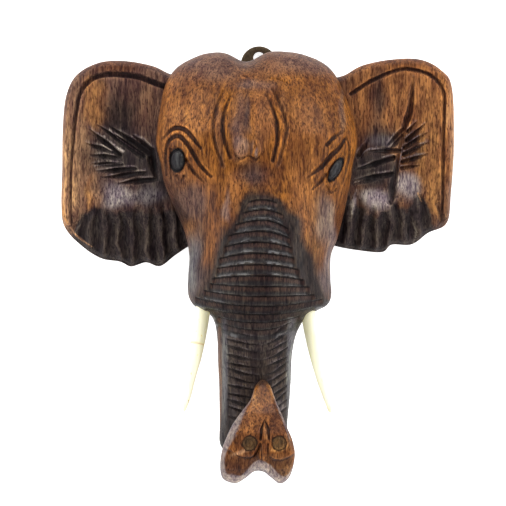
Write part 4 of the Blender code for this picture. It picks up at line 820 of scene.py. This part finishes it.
earLeftDabs = (
    ("mauve", -78.0, -30.0, 40.0, 50.0, 1.0),
    ("russet", -72.0, -5.0, 26.0, 5.0, 0.7),
    ("bronze", -61.0, -27.0, 8.0, 13.0, 0.3),
    ("brown", -76.0, -32.0, 10.0, 18.0, 0.85),
    ("umber", -75.0, -35.0, 9.0, 11.0, 0.8),
    ("gold", -90.0, -27.0, 6.0, 15.0, 0.9),
    ("honey", -99.0, -60.0, 9.0, 40.0, 0.65),
    ("soot", -76.0, -54.0, 19.0, 15.0, 0.96),
    ("soot", -56.0, -62.0, 12.0, 22.0, 0.9),
    ("honey", -89.5, -74.0, 3.0, 9.0, 0.6),
    # painted sheen: a pale grey patch below the fan, where the ear catches the top light
    ("paintedLilacSheen", -76.0, -77.0, 9.5, 6.6, 1.0),
    ("paintedSheen", -76.0, -77.5, 6.5, 5.0, 0.4),
    ("paintedPewterSheen", -60.0, -76.6, 7.5, 6.4, 0.8),
    ("gold", -91.0, -76.0, 1.4, 9.0, 0.8),
    ("honey", -106.0, -70.0, 3.5, 34.0, 1.0),
)
earRightDabs = (
    ("golden", 84.0, -30.0, 40.0, 50.0, 1.0),
    ("honey", 84.0, -36.0, 22.0, 34.0, 0.12),
    ("russet", 76.0, -3.0, 30.0, 5.0, 0.75),
    ("brown", 64.0, -25.0, 6.0, 15.0, 0.85),
    ("umber", 66.0, -22.0, 3.0, 11.0, 0.4),
    ("soot", 67.0, -46.0, 11.0, 8.5, 0.95),
    ("soot", 61.0, -61.0, 15.5, 12.0, 0.96),
    ("soot", 73.0, -68.0, 4.0, 12.0, 0.9),
    # painted sheen: a grey patch over the dark fan
    ("paintedPewterSheen", 66.5, -46.5, 8.5, 4.4, 0.55),
    ("umber", 83.5, -50.5, 7.5, 10.0, 0.7),
    # painted sheen: two pale patches above the flutes, where the ear catches the top light
    ("paintedLilacSheen", 62.8, -78.0, 8.5, 6.8, 1.0),
    ("paintedSheen", 62.8, -78.8, 7.0, 5.6, 0.95),
    ("paintedLilacSheen", 81.2, -71.4, 6.5, 8.0, 0.85),
    ("paintedSheen", 80.4, -70.4, 4.8, 6.0, 0.65),
    ("gold", 92.0, -60.0, 6.0, 26.0, 0.7),
    ("honey", 104.0, -60.0, 3.0, 40.0, 0.7),
)
tipDabs = (
    ("amber", 0.0, -196.0, 26.0, 36.0, 0.9),
    ("russet", 0.0, -202.0, 24.0, 22.0, 0.6),
    ("gold", -2.2, -182.0, 1.5, 6.0, 0.9),
    ("honey", -2.6, -180.6, 0.6, 3.6, 0.8),
    ("gold", 5.4, -181.0, 1.2, 5.0, 0.9),
    ("umber", 1.6, -174.6, 4.6, 2.6, 0.85),
    ("golden", -5.0, -192.0, 4.0, 8.0, 0.9),
    ("golden", 2.0, -189.0, 4.0, 4.0, 0.6),
    ("russet", 8.6, -196.0, 4.6, 7.0, 0.85),
    ("gold", 2.6, -199.0, 0.9, 4.6, 0.9),
    ("golden", 2.6, -210.0, 1.2, 5.0, 0.6),
    ("honey", -9.0, -209.6, 5.0, 1.0, 0.9),
    ("gold", 10.6, -209.0, 4.6, 1.0, 0.9),
    ("gold", 15.6, -205.0, 1.2, 4.0, 0.7),
    ("russet", -11.0, -218.0, 7.0, 5.0, 0.6),
    ("bronze", 12.0, -218.0, 6.0, 5.0, 0.6),
)


def paint(start, dabs, across, height):
    # tone at each point: every dab mixes in by its strength times a flat-topped bell
    colour = np.tile(np.array(woodTones[start]), (len(across), 1))
    for name, middle, level, halfWidth, halfHeight, strength in dabs:
        far = ((across - middle) / halfWidth) ** 2 + ((height - level) / halfHeight) ** 2
        colour += (np.array(woodTones[name]) - colour) * (strength * np.exp(-(far**2)))[:, None]
    return colour


def stain(colour, name, amount):
    # the tone mixed in by an amount from 0 to 1 at each point
    return colour + (np.array(woodTones[name]) - colour) * np.clip(amount, 0.0, 1.0)[:, None]


def scorchAmount(shape, across, height):
    # 1 inside the table's left and right edges, falling to 0 over the soft width
    levels, left, right = np.array(shape["scorch"])[::-1].T
    inside = np.minimum(across - np.interp(height, levels, left), np.interp(height, levels, right) - across)
    started = np.clip((levels[-1] - height) / 6.0 + 0.3, 0.0, 1.0)
    return np.clip(inside / shape["scorchSoft"] + 0.5, 0.0, 1.0) * started


colouring = {  # drifts are seed, size and amount
    "driftAcross": (31, 17.0, 2.5), "driftHeight": (32, 23.0, 3.0),
    "jag": (33, 5.0, 1.2), "patches": (35, 9.0, 1.2),
    "facing": 0.15, "sawnFrom": 0.8, "sawnOver": 0.15,  # of the normal's share into the wall
    "earBeside": 0.6, "earOut": 28.5, "earSide": 33.0, "earLow": -118.0, "earOutBeside": 34.0,
    "tipHigh": -171.0, "tipOut": 59.0, "lobeHigh": -209.0, "lobeOut": 53.0, "trunkHigh": -141.0,
    "scorchEdge": 3.0,  # how softly the scorched part of an ear begins
    "edgeLift": 0.9, "strokeLift": 0.7, "edgeGlint": 0.6,  # how far above a cut the painted highlight on its upper edge shows, how strongly
    "freshTo": 2.6, "ridgeFrom": 2.4, "glossFrom": 3.4,  # below a step's wall
    "sideReflectionTop": -184.0, "underFrom": 60.0,
    "burntHigh": -41.0, "burntSide": 92.0, "burntGroove": 0.75,  # scorched cuts aren't much darker
    "strokeSide": 6.0, "strokeGroove": 1.35,
    "slashLow": -70.0, "slashSide": 77.0, "slashWear": 0.15,  # the ridges between these slashes stay dark
}


def colourHead(head, look):
    # tone (with painted sheen, highlights, reflections and shade), painted shade in the grooves, wear, gloss and saw
    # values for every point, by the form it belongs to
    data = head.data
    points, normals = readPoints(data) / mm, readPoints(data, "normal")
    across, out, height = points[:, 0], -points[:, 1], points[:, 2]
    driftX = across + wander(across, height, *look["driftAcross"])
    driftZ = height + wander(across, height, *look["driftHeight"])
    front = normals[:, 1] < look["facing"]
    levels, left, right = np.array(headShape["rows"])[::-1, :3].T
    left, right = np.interp(height, levels, left), np.interp(height, levels, right)
    beyond = (across < left - look["earBeside"]) | (across > right + look["earBeside"])
    ear = (out < look["earOut"]) & (np.abs(across) > look["earSide"])
    ear |= beyond & (height > look["earLow"]) & (out < look["earOutBeside"])
    tip = (height < look["tipHigh"]) & (out > look["tipOut"])
    tip |= (height < look["lobeHigh"]) & (out > look["lobeOut"])
    body = ~ear & ~tip
    tone = paint("golden", headDabs, driftX, driftZ)
    blackened = scorchAmount(trunkCuts, driftX, driftZ)
    tone = stain(tone, "umber", blackened)
    trunk = body & (height < look["trunkHigh"])
    tone[trunk] = paint("umber", trunkDabs, across[trunk], height[trunk])
    for mask, dabs in ((ear & (across < 0), earLeftDabs), (ear & (across > 0), earRightDabs), (tip, tipDabs)):
        tone[mask] = paint("brown", dabs, driftX[mask], driftZ[mask])
    jag = height + wander(across, height, *look["jag"])
    patchy = (0.6 + wander(across, height, *look["patches"])).clip(0.15, 1.0)
    for side, shape in ((-1, earLeft), (1, earRight)):
        limit = np.interp(across, *zip(*shape["scorchTop"]))
        scorched = ((limit - jag) / look["scorchEdge"] + 0.5).clip(0.0, 1.0)
        tone = stain(tone, "char", ear * (across * side > 0) * scorched)
        strokes = shape["cuts"][1:]
        # painted highlight: a pale line just above each stroke, along its upper edge
        above = cutDepth(strokes, across, height - look["edgeLift"], earShape["lean"])
        edgeGlint = (above - 2.0 * cutDepth(strokes, across, height, earShape["lean"])).clip(0.0, 1.0)
        tone = stain(tone, "paintedLilacSheen", look["edgeGlint"] * edgeGlint * patchy * ear * front)
        for name, line, widths in shape["slivers"]:
            tone = stain(tone, name, ear * cutDepth(((line, widths, 1.0),), across, height))
    grooveShade, gloss = np.zeros(len(points)), 0.08 * blackened * body
    carved = front & body
    gouged, below = trunkSteps(trunkCuts, across, height)
    fresh = carved * np.clip((look["freshTo"] - below) / 0.8, 0.0, 1.0) * np.clip(below / 0.3, 0.0, 1.0)
    tone = stain(tone, "brown", fresh * (0.2 + 0.35 * ((height + 138.0) / 8.0).clip(0.0, 1.0)))
    ridge = carved * (gouged > 0.0) * np.clip((below - look["ridgeFrom"]) / 0.8, 0.0, 1.0)
    tone = stain(tone, "slate", 0.7 * ridge)
    shiny = ridge * np.clip((below - look["glossFrom"]) / 0.6, 0.0, 1.0)
    gloss = np.clip(gloss + 0.9 * shiny - fresh, 0.0, 1.0)
    # painted shadow: a dark line on the steep wall under each step line
    wall = np.clip(1.0 - np.abs(below + 0.15) / 0.75, 0.0, 1.0) * np.clip(gouged / 0.3, 0.0, 1.0)
    lines = cutDepth(trunkLines(trunkCuts), across, height, trunkCuts["lean"])
    above = cutDepth(trunkLines(trunkCuts), across, height - look["strokeLift"], trunkCuts["lean"])
    # painted highlight: a pale line along the upper edge of each trunk stroke
    edgeGlint = above - 2.0 * lines
    tone = stain(tone, "paintedPewterSheen", look["edgeGlint"] * edgeGlint.clip(0.0, 1.0) * patchy * carved)
    # painted shade in the face's cuts and the trunk strokes by their depth, and along the step walls
    strokes = np.maximum(cutDepth(faceCuts, across, height), 0.7 * lines)
    grooveShade[carved] = np.maximum(strokes / 1.2, wall * 1.2)[carved]
    for eye in (eyeLeft, eyeRight):
        away = eyeRing(eye, across, height)
        tone = stain(tone, "slate", carved * (away < 1.25))
        gloss = np.maximum(gloss, 0.3 * carved * (away < 1.0))
        # painted shade in the cut round the eye
        grooveShade[carved] = np.maximum(grooveShade, np.clip(1.0 - np.abs(away - 1.12) / 0.2, 0.0, 1.0))[carved]
    # painted shade in the ears' cuts and flutes and in the tip's cuts, by their depth
    for mask, shape in ((front & ear & (across < 0), earLeft), (front & ear & (across > 0), earRight)):
        cuts = cutDepth(shape["cuts"], across[mask], height[mask], earShape["lean"]) / 1.3
        flutes = fluteDepth(shape["flutes"], across[mask], height[mask]) / 10.0
        grooveShade[mask] = np.maximum(cuts, flutes)
    grooveShade[tip & front] = cutDepth(tipShape["cuts"], across[tip & front], height[tip & front]) / 1.2
    # the deepest floors get a little less painted shade than the cut's sides
    grooveShade = grooveShade - 0.2 * np.clip((grooveShade - 0.85) / 0.15, 0.0, 1.0)
    # painted reflection: a pale grey strip down the tip's left side and a paler tone on the lobes' undersides, both
    # glossier
    inner = along(tipShape["sideReflection"], np.linspace(0.0, 1.0, 40))
    sideReflection = tip * ((np.interp(height, inner[::-1, 1], inner[::-1, 0]) - across) / 0.8 + 0.5).clip(0.0, 1.0)
    sideReflection *= ((look["sideReflectionTop"] - height) / 2.0).clip(0.0, 1.0)
    under = tip * ((np.interp(across, *zip(*tipShape["under"])) - height) / 0.9 + 0.5).clip(0.0, 1.0)
    under *= ((out - look["underFrom"]) / 5.0).clip(0.0, 1.0)
    tone = stain(tone, "paintedLilacSheen", 0.8 * sideReflection)
    tone = stain(tone, "paintedSheen", 0.65 * under * (1.0 - sideReflection))
    for name, line, widths in tipShape["slivers"]:
        tone = stain(tone, name, 0.8 * tip * cutDepth(((line, widths, 1.0),), across, height))
    gloss = np.maximum(gloss, tip * (0.3 + 0.4 * np.maximum(sideReflection, under)))
    burnt = ear & (height < look["burntHigh"]) & (np.abs(across) < look["burntSide"])
    grooveShade[burnt] *= look["burntGroove"]
    grooveShade[trunk & (across > look["strokeSide"])] *= look["strokeGroove"]
    wear = np.clip(edgeWear(data, 2) * 4.0, -1.0, 1.0)
    slashed = burnt & (height > look["slashLow"]) & (across > look["slashSide"])
    wear[slashed] = np.minimum(wear[slashed], look["slashWear"])
    sawn = np.clip((normals[:, 1] - look["sawnFrom"]) / look["sawnOver"], 0.0, 1.0)
    tone = stain(tone, "raw", sawn)
    setAttribute(data, "tone", tone)
    setAttribute(data, "grooveShade", np.clip(grooveShade, 0.0, 1.0))
    setAttribute(data, "wear", wear)
    setAttribute(data, "gloss", gloss)
    setAttribute(data, "sawn", sawn)


class Wire:
    # one value between nodes; arithmetic on it adds Math nodes
    def __init__(self, tree, socket=None):
        self.tree, self.socket = tree, socket

    def make(self, kind, settings, sockets, out=0):
        # any node: its settings, its sockets' values or links, and which output to go on from
        node = self.tree.nodes.new(kind)
        for name, value in settings.items():
            setattr(node, name, value)
        for name, value in sockets.items():
            if isinstance(value, Wire):
                self.tree.links.new(value.socket, node.inputs[name])
            else:
                node.inputs[name].default_value = value
        return Wire(self.tree, node.outputs[out])

    def math(self, operation, *values):
        return self.make("ShaderNodeMath", {"operation": operation}, dict(enumerate(values)))

    def __add__(self, other):
        return self.math("ADD", self, other)

    def __radd__(self, other):
        return self.math("ADD", other, self)

    def __sub__(self, other):
        return self.math("SUBTRACT", self, other)

    def __rsub__(self, other):
        return self.math("SUBTRACT", other, self)

    def __mul__(self, other):
        return self.math("MULTIPLY", self, other)

    def __rmul__(self, other):
        return self.math("MULTIPLY", other, self)

    def clamp(self):
        return self.make("ShaderNodeClamp", {}, {"Value": self})

    def between(self, low, high):
        # 0 at low, 1 at high, straight between them and held outside
        return self.make("ShaderNodeMapRange", {}, {"Value": self, "From Min": low, "From Max": high})

    def mixColour(self, first, second):
        # this value is the share of the second colour
        return self.make("ShaderNodeMix", {"data_type": "RGBA"}, {0: self, 6: first, 7: second}, 2)

    def times(self, tint):
        # colour by colour
        settings = {"data_type": "RGBA", "blend_type": "MULTIPLY"}
        return self.make("ShaderNodeMix", settings, {0: 1.0, 6: self, 7: tint}, 2)


def newMaterial(name):
    # an empty material and the wire that adds nodes to it
    made = bpy.data.materials.new(name)
    made.use_nodes = True
    made.node_tree.nodes.clear()
    return made, Wire(made.node_tree)


def endSurface(wire, shader):
    # the shader becomes the material's surface
    output = wire.tree.nodes.new("ShaderNodeOutputMaterial")
    wire.tree.links.new(shader.socket, output.inputs["Surface"])


def noise(wire, place, size, detail=3.0, roughness=0.5, distortion=0.0):
    # noise from 0 to 1 whose features measure about size, in millimetres along X, Y and Z
    scale = tuple(1.0 / (length * mm) for length in size)
    mapped = wire.make("ShaderNodeMapping", {}, {"Vector": place, "Scale": scale})
    sockets = {"Vector": mapped, "Scale": 1.0, "Detail": detail, "Roughness": roughness,
               "Distortion": distortion}
    return wire.make("ShaderNodeTexNoise", {}, sockets)


woodLook = {
    "streak": (1.3, 1.3, 13.0), "fibre": (0.7, 0.7, 4.0), "pore": (0.75, 0.75, 3.2),
    "blotch": (11.0, 11.0, 22.0),
    "roughness": 0.40,
    "figure": (4.0, 4.0, 18.0), "deep": (0.68, 0.62, 0.68, 1.0), "light": (1.25, 1.27, 1.12, 1.0),
    "dim": (0.36, 0.31, 0.44, 1.0), "bright": (1.80, 1.86, 1.76, 1.0), "worn": (2.3, 2.3, 2.0, 1.0),
    # the cut tint darkens the cuts as painted shade
    "pored": (0.20, 0.17, 0.25, 1.0), "cut": (0.16, 0.12, 0.145, 1.0),
    # the darker floor colour is also the painted shade ringing each nostril's edge
    "floor": (0.108, 0.068, 0.029, 1.0), "floorDarkAndRimShade": (0.014, 0.008, 0.005, 1.0),
}


def makeWood(look):
    # the points' tone with grain, pores, worn edges and painted shade in the cuts; the nostrils' painted shade rings
    # and paler floors follow from the distance to their middles
    made, wire = newMaterial("carvedWood")
    place = wire.make("ShaderNodeTexCoord", {}, {}, 3)
    tone = wire.make("ShaderNodeAttribute", {"attribute_name": "tone"}, {}, 0)
    grooveShade, wear, gloss, sawn = (wire.make("ShaderNodeAttribute", {"attribute_name": name}, {}, 2)
                                 for name in ("grooveShade", "wear", "gloss", "sawn"))
    streak = noise(wire, place, look["streak"], 4.0, 0.6, 0.3).between(0.36, 0.64)
    fibre = noise(wire, place, look["fibre"], 3.0, 0.6).between(0.36, 0.64)
    blotch = noise(wire, place, look["blotch"], 3.0, 0.5).between(0.3, 0.7)
    pore = noise(wire, place, look["pore"], 2.0, 0.5).between(0.52, 0.62)
    grain = (0.45 * streak + 0.30 * fibre + 0.25 * blotch).between(0.15, 0.85)
    figure = noise(wire, place, look["figure"], 3.0, 0.55, 0.4).between(0.36, 0.64)
    colour = tone.times(grain.mixColour(look["dim"], look["bright"]))
    colour = colour.times(figure.mixColour(look["deep"], look["light"]))
    smooth = gloss.between(0.4, 0.6)
    pitted = pore * (0.5 + 0.35 * blotch) * (1.0 - 0.8 * smooth)
    colour = pitted.mixColour(colour, colour.times(look["pored"]))
    worn = (wear * 2.2 - 0.35 + 0.3 * blotch).clamp() * 0.6
    colour = worn.mixColour(colour, colour.times(look["worn"]))
    # painted shade: the cuts darken by their depth, less along the fibres
    dark = (grooveShade * 1.5 - 0.15 - 0.2 * fibre).clamp()
    colour = dark.mixColour(colour, colour.times(look["cut"]))
    flat = wire.make("ShaderNodeVectorMath", {"operation": "MULTIPLY"}, {0: place, 1: (1.0, 0.0, 1.0)})
    ahead = wire.make("ShaderNodeSeparateXYZ", {}, {"Vector": place}, 1).between(-0.060, -0.062)
    for across, height in tipShape["nostrils"]:
        centre = {0: flat, 1: (across * mm, 0.0, height * mm)}
        away = wire.make("ShaderNodeVectorMath", {"operation": "DISTANCE"}, centre, 1)
        away = away * (1.0 / (tipShape["nostrilRadius"] * mm))
        away = away + 0.12 * streak + 0.12 * blotch - 0.12
        # painted shade: a dark ring at each nostril's edge, and a fainter dark ring round the floor's middle
        rings = away.between(0.85, 0.93) * away.between(1.14, 1.06)
        rings = rings + away.between(0.44, 0.52) * away.between(0.66, 0.55) * 0.5
        within = away.between(1.0, 0.95) * ahead * 0.8
        colour = within.mixColour(colour, grain.mixColour(look["floorDarkAndRimShade"], look["floor"]))
        colour = (rings.clamp() * (0.7 + 0.3 * fibre) * ahead).mixColour(colour, look["floorDarkAndRimShade"])
    rough = look["roughness"] + 0.12 * blotch - 0.14 * gloss + 0.3 * sawn - 0.06 * streak
    height = 0.5 * streak + 0.35 * fibre - 0.6 * pore
    bump = wire.make("ShaderNodeBump", {}, {"Strength": 0.4, "Distance": 0.0003, "Height": height})
    sockets = {"Base Color": colour, "Roughness": rough, "Normal": bump, "Specular IOR Level": 0.09,
               "Coat Weight": 0.03 + 0.37 * gloss, "Coat Roughness": 0.16}
    endSurface(wire, wire.make("ShaderNodeBsdfPrincipled", {}, sockets))
    return made


tuskLook = {
    "cream": (1.0, 0.99, 0.82, 1.0), "shade": (0.99, 0.91, 0.58, 1.0), "fleck": (0.32, 0.17, 0.04, 1.0),
    "cloud": (5.0, 5.0, 12.0), "spot": (1.4, 1.4, 3.0), "line": (0.6, 0.6, 20.0), "roughness": 0.30,
    "glow": (1.0, 0.90, 0.46, 1.0), "paintedGlowStrength": 0.22,  # painted glow: the tusks emit a faint light of their own, standing in for light let through
    "through": 0.6, "throughDepth": 0.005,
}


def makeTuskCream(look):
    # cream clouded with yellow, brown in the crack, at the tip and in a few flecks, and a painted glow
    made, wire = newMaterial("tuskCream")
    place = wire.make("ShaderNodeTexCoord", {}, {}, 3)
    ring = wire.make("ShaderNodeAttribute", {"attribute_name": "crack"}, {}, 2)
    cloud = noise(wire, place, look["cloud"], 3.0).between(0.35, 0.7)
    fleck = noise(wire, place, look["spot"], 2.0).between(0.68, 0.73)
    line = noise(wire, place, look["line"], 2.0).between(0.3, 0.7)
    colour = (cloud * 0.5 + line * 0.15).mixColour(look["cream"], look["shade"])
    colour = (fleck * 0.7 + ring).clamp().mixColour(colour, look["fleck"])
    height = line * 0.4 + cloud * 0.3 - fleck * 0.4
    bump = wire.make("ShaderNodeBump", {}, {"Strength": 0.25, "Distance": 0.0002, "Height": height})
    sockets = {"Base Color": colour, "Roughness": look["roughness"] + 0.1 * cloud, "Normal": bump,
               "Subsurface Weight": look["through"], "Subsurface Radius": (1.0, 1.0, 1.0),
               "Subsurface Scale": look["throughDepth"],
               "Emission Color": look["glow"], "Emission Strength": look["paintedGlowStrength"]}
    endSurface(wire, wire.make("ShaderNodeBsdfPrincipled", {}, sockets))
    return made


brassLook = {
    "brass": (0.15, 0.105, 0.062, 1.0), "tarnish": (0.028, 0.021, 0.016, 1.0), "roughness": 0.38,
    "cloud": (3.0, 3.0, 3.0), "grain": (0.4, 0.4, 0.4),
}


def makeDarkBrass(look):
    # brass under a cloudy tarnish
    made, wire = newMaterial("darkBrass")
    place = wire.make("ShaderNodeTexCoord", {}, {}, 3)
    cloud = noise(wire, place, look["cloud"], 4.0, 0.6).between(0.35, 0.65)
    grain = noise(wire, place, look["grain"], 2.0).between(0.4, 0.65)
    colour = (cloud * 0.6 + grain * 0.25).clamp().mixColour(look["brass"], look["tarnish"])
    bump = wire.make("ShaderNodeBump", {}, {"Strength": 0.3, "Distance": 0.0001, "Height": grain + cloud})
    sockets = {"Base Color": colour, "Roughness": look["roughness"] + 0.25 * cloud, "Metallic": 0.85,
               "Normal": bump}
    endSurface(wire, wire.make("ShaderNodeBsdfPrincipled", {}, sockets))
    return made


def finishPiece(piece, node, material, sharp):
    # one material, edges sharp above the angle, and the piece in place of its CAD node
    keepInside(piece, node)
    piece.data.materials.clear()
    piece.data.materials.append(material)
    piece.data.shade_smooth()
    piece.data.set_sharp_from_angle(angle=math.radians(sharp))
    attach(piece, "root")
    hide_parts(node)
    print(piece.name, "done:", len(piece.data.vertices), "points")


def makeTusk(side):
    # a tapering tube closed by a rounded point, with a ring crack as a narrow bell in its radius
    shape = tuskShape
    rows, sides = (int(n * fine) for n in shape["grid"])
    places = 1.0 - (1.0 - np.linspace(0.0, 1.0, rows)) ** 1.15
    path = tuskPath(shape[side], shape["length"], places)
    radii = along(shape["taper"], places)[:, 0] * shape["diameter"] / 2
    radii *= np.sqrt(1.0 - 0.98 * np.clip((places - 0.975) / 0.025, 0.0, 1.0) ** 2)
    crack = np.exp(-(((path[:, 2] - shape["crackHeight"][side]) / shape["crackWidth"]) ** 2))
    rings = sweepRings(path, radii - shape["crackDepth"] * crack, sides)
    piece = ringMesh("tusk" + side.capitalize(), rings)
    length = shape["tipLength"]
    browned = shape["tipStain"] * ((path[:, 2].min() + length - path[:, 2]) / length).clip(0.0, 1.0)
    stained = np.maximum(crack * shape["crackStain"], browned)
    setAttribute(piece.data, "crack", np.concatenate([np.repeat(stained, sides), [0.0, shape["tipStain"]]]))
    return piece


def makePlate(shape):
    # between the eye's circle and the outer circle, round a closed profile with eased edges
    _, front, back = hangerDepths(shape)
    ease = shape["edge"]
    share = (0.0, 0.03, 0.08, 0.5, 0.92, 0.97, 1.0, 1.0, 0.97, 0.92, 0.5, 0.08, 0.03, 0.0)
    depth = (front - ease, front - ease * 0.3, front, front, front, front - ease * 0.3, front - ease,
             back + ease, back + ease * 0.3, back, back, back, back + ease * 0.3, back + ease)
    angle = np.linspace(0.0, 2 * math.pi, shape["sides"], endpoint=False)
    inner, outer = shape["eyeDiameter"] / 2, shape["plateDiameter"] / 2
    share, depth = np.array(share)[:, None], np.array(depth)[:, None]
    across = (inner + (outer - inner) * share) * np.cos(angle)
    height = (inner + (outer - inner) * share) * np.sin(angle) - shape["eyeRise"] * share
    rings = np.stack([across, np.broadcast_to(-depth, across.shape), height], axis=2) * mm
    rows, columns = across.shape
    index = np.arange(rows * columns).reshape(rows, columns)
    below, after = np.roll(index, -1, axis=0), np.roll(index, -1, axis=1)
    quads = np.stack([index, after, np.roll(below, -1, axis=1), below], axis=-1).reshape(-1, 4)
    piece = meshObject("hangerPlate", rings.reshape(-1, 3), quads.tolist())
    for across, height in screwPlaces(shape):
        hole = shape["screwDiameter"] / 2 + shape["clearance"]
        bore = turnedRings(((hole, -2.0), (hole, 5.0)), across, height, 32)
        combine(piece, ringMesh("screwHole", bore), "DIFFERENCE")
    return piece


def makeScrew(shape, name, across, height):
    # a turned profile, thread as a ripple along the shank, and a slot across the head
    back = hangerDepths(shape)[2] - shape["clearance"]
    under = back - shape["headHeight"]
    steps = np.linspace(0.0, 1.0, 70)
    depth = back + 0.3 + (shape["screwLength"] - back - 0.3) * steps
    thread = 0.5 + 0.5 * np.cos(steps * shape["threadTurns"] * 2 * math.pi)
    ripple = shape["screwDiameter"] / 2 * (1.0 - shape["threadDepth"] * thread)
    ripple *= np.clip((1.0 - steps) * 4.0 + 0.12, 0.0, 1.0)
    radius = shape["headDiameter"] / 2
    profile = [(radius * 0.3, under), (radius * 0.85, under), (radius, under + 0.15), (radius, back - 0.12),
               (radius * 0.95, back), (shape["screwDiameter"] / 2, back)] + list(zip(ripple, depth))
    piece = ringMesh(name, turnedRings(profile, across, height, 40))
    half, long, deep = shape["slotWidth"] / 2, radius * 1.2, shape["slotDepth"]
    corners = np.array([(-long, -half), (long, -half), (long, half), (-long, half)])
    slot = np.stack([np.column_stack([across + corners[:, 0], np.full(4, out), height + corners[:, 1]])
                     for out in (-under - deep, -under + 1.0)])
    combine(piece, ringMesh("slot", slot), "DIFFERENCE")
    return piece


wood, cream, brass = makeWood(woodLook), makeTuskCream(tuskLook), makeDarkBrass(brassLook)
head = makeCarvedHead()
finishPiece(head, "carved_head", wood, 42)
colourHead(head, colouring)
for side in ("left", "right"):
    finishPiece(makeTusk(side), "tusk_" + side, cream, 60)
finishPiece(makePlate(hangerShape), "hanger_plate", brass, 40)
for side, (across, height) in zip(("Left", "Right"), screwPlaces(hangerShape)):
    screw = makeScrew(hangerShape, "hangerScrew" + side, across, height)
    finishPiece(screw, "hanger_screw_" + side.lower(), brass, 40)


# pale wall and floor in one sweep, and soft light
studio = {
    "wall": 0.8, "glow": 0.86, "gap": 0.0004, "reach": 3.0, "floor": -0.9, "turn": 0.4,
    "lights": (  # name, place, what it faces, width, height, power
        ("top", (0.0, -0.45, 1.00), (0.0, -0.03, -0.06), 0.9, 0.4, 6.0),
        ("left", (-1.0, -0.45, 0.05), (0.0, -0.03, -0.10), 0.4, 1.0, 7.0),
        ("right", (1.0, -0.45, 0.05), (0.0, -0.03, -0.10), 0.4, 1.0, 7.0),
        ("frontLeft", (-0.85, -1.05, 0.95), (0.0, -0.03, -0.12), 0.6, 0.5, 8.0),
        ("frontRight", (0.85, -1.05, 0.95), (0.0, -0.03, -0.12), 0.6, 0.5, 8.0),
    ),
    "glowAside": 0.4,  # share of the glow that also lights the piece
    "sky": 0.12, "skySeen": 1.05,
}


def makeBackdrop(look):
    # a profile down the wall, round a quarter turn and out over the floor, the same all across
    turn, floor = look["turn"], look["floor"]
    angle = np.linspace(0.0, math.pi / 2, 24)
    depth = np.concatenate([[0.0], turn * (1 - np.cos(angle)), [look["reach"]]])
    height = np.concatenate([[look["reach"]], floor + turn * (1 - np.sin(angle)), [floor]])
    sides = np.array([-look["reach"], look["reach"]])
    points = np.stack(np.broadcast_arrays(sides[None], look["gap"] - depth[:, None], height[:, None]), axis=2)
    rows = len(depth)
    index = np.arange(rows * 2).reshape(rows, 2)
    quads = np.stack([index[:-1, 0], index[1:, 0], index[1:, 1], index[:-1, 1]], axis=-1)
    sheet = meshObject("backdrop", points.reshape(-1, 3), quads.tolist())
    made, wire = newMaterial("paleWall")
    behind = wire.make("ShaderNodeNewGeometry", {}, {}, 6)
    seen = wire.make("ShaderNodeLightPath", {}, {}, 0)
    paint = wire.make("ShaderNodeBsdfPrincipled", {}, {
        "Base Color": (look["wall"],) * 3 + (1.0,), "Roughness": 0.9, "Specular IOR Level": 0.1,
        "Emission Color": (1.0, 1.0, 1.0, 1.0),
        "Emission Strength": look["glow"] * (look["glowAside"] + (1.0 - look["glowAside"]) * seen)})
    clear = wire.make("ShaderNodeBsdfTransparent", {}, {})
    endSurface(wire, wire.make("ShaderNodeMixShader", {}, {0: behind, 1: paint, 2: clear}))
    sheet.data.materials.append(made)


def makeLights(look):
    # soft panels turned to face their targets, and an even sky that is white where it is seen
    for name, place, target, width, height, power in look["lights"]:
        data = bpy.data.lights.new(name, "AREA")
        data.shape, data.size, data.size_y, data.energy = "RECTANGLE", width, height, power
        lamp = bpy.data.objects.new(name, data)
        aim = np.subtract(target, place)
        lamp.location = place
        lamp.rotation_euler = (math.acos(-aim[2] / np.linalg.norm(aim)), 0.0, math.atan2(-aim[0], aim[1]))
        bpy.context.scene.collection.objects.link(lamp)
    world = bpy.data.worlds.new("studio")
    world.use_nodes = True
    world.node_tree.nodes.clear()
    wire = Wire(world.node_tree)
    seen = wire.make("ShaderNodeLightPath", {}, {}, 0)
    strength = look["sky"] + (look["skySeen"] - look["sky"]) * seen
    light = wire.make("ShaderNodeBackground", {}, {"Color": (1.0, 1.0, 1.0, 1.0), "Strength": strength})
    output = wire.tree.nodes.new("ShaderNodeOutputWorld")
    wire.tree.links.new(light.socket, output.inputs["Surface"])
    bpy.context.scene.world = world
    bpy.context.scene.view_settings.view_transform = "Standard"


makeBackdrop(studio)
makeLights(studio)
print("studio done")
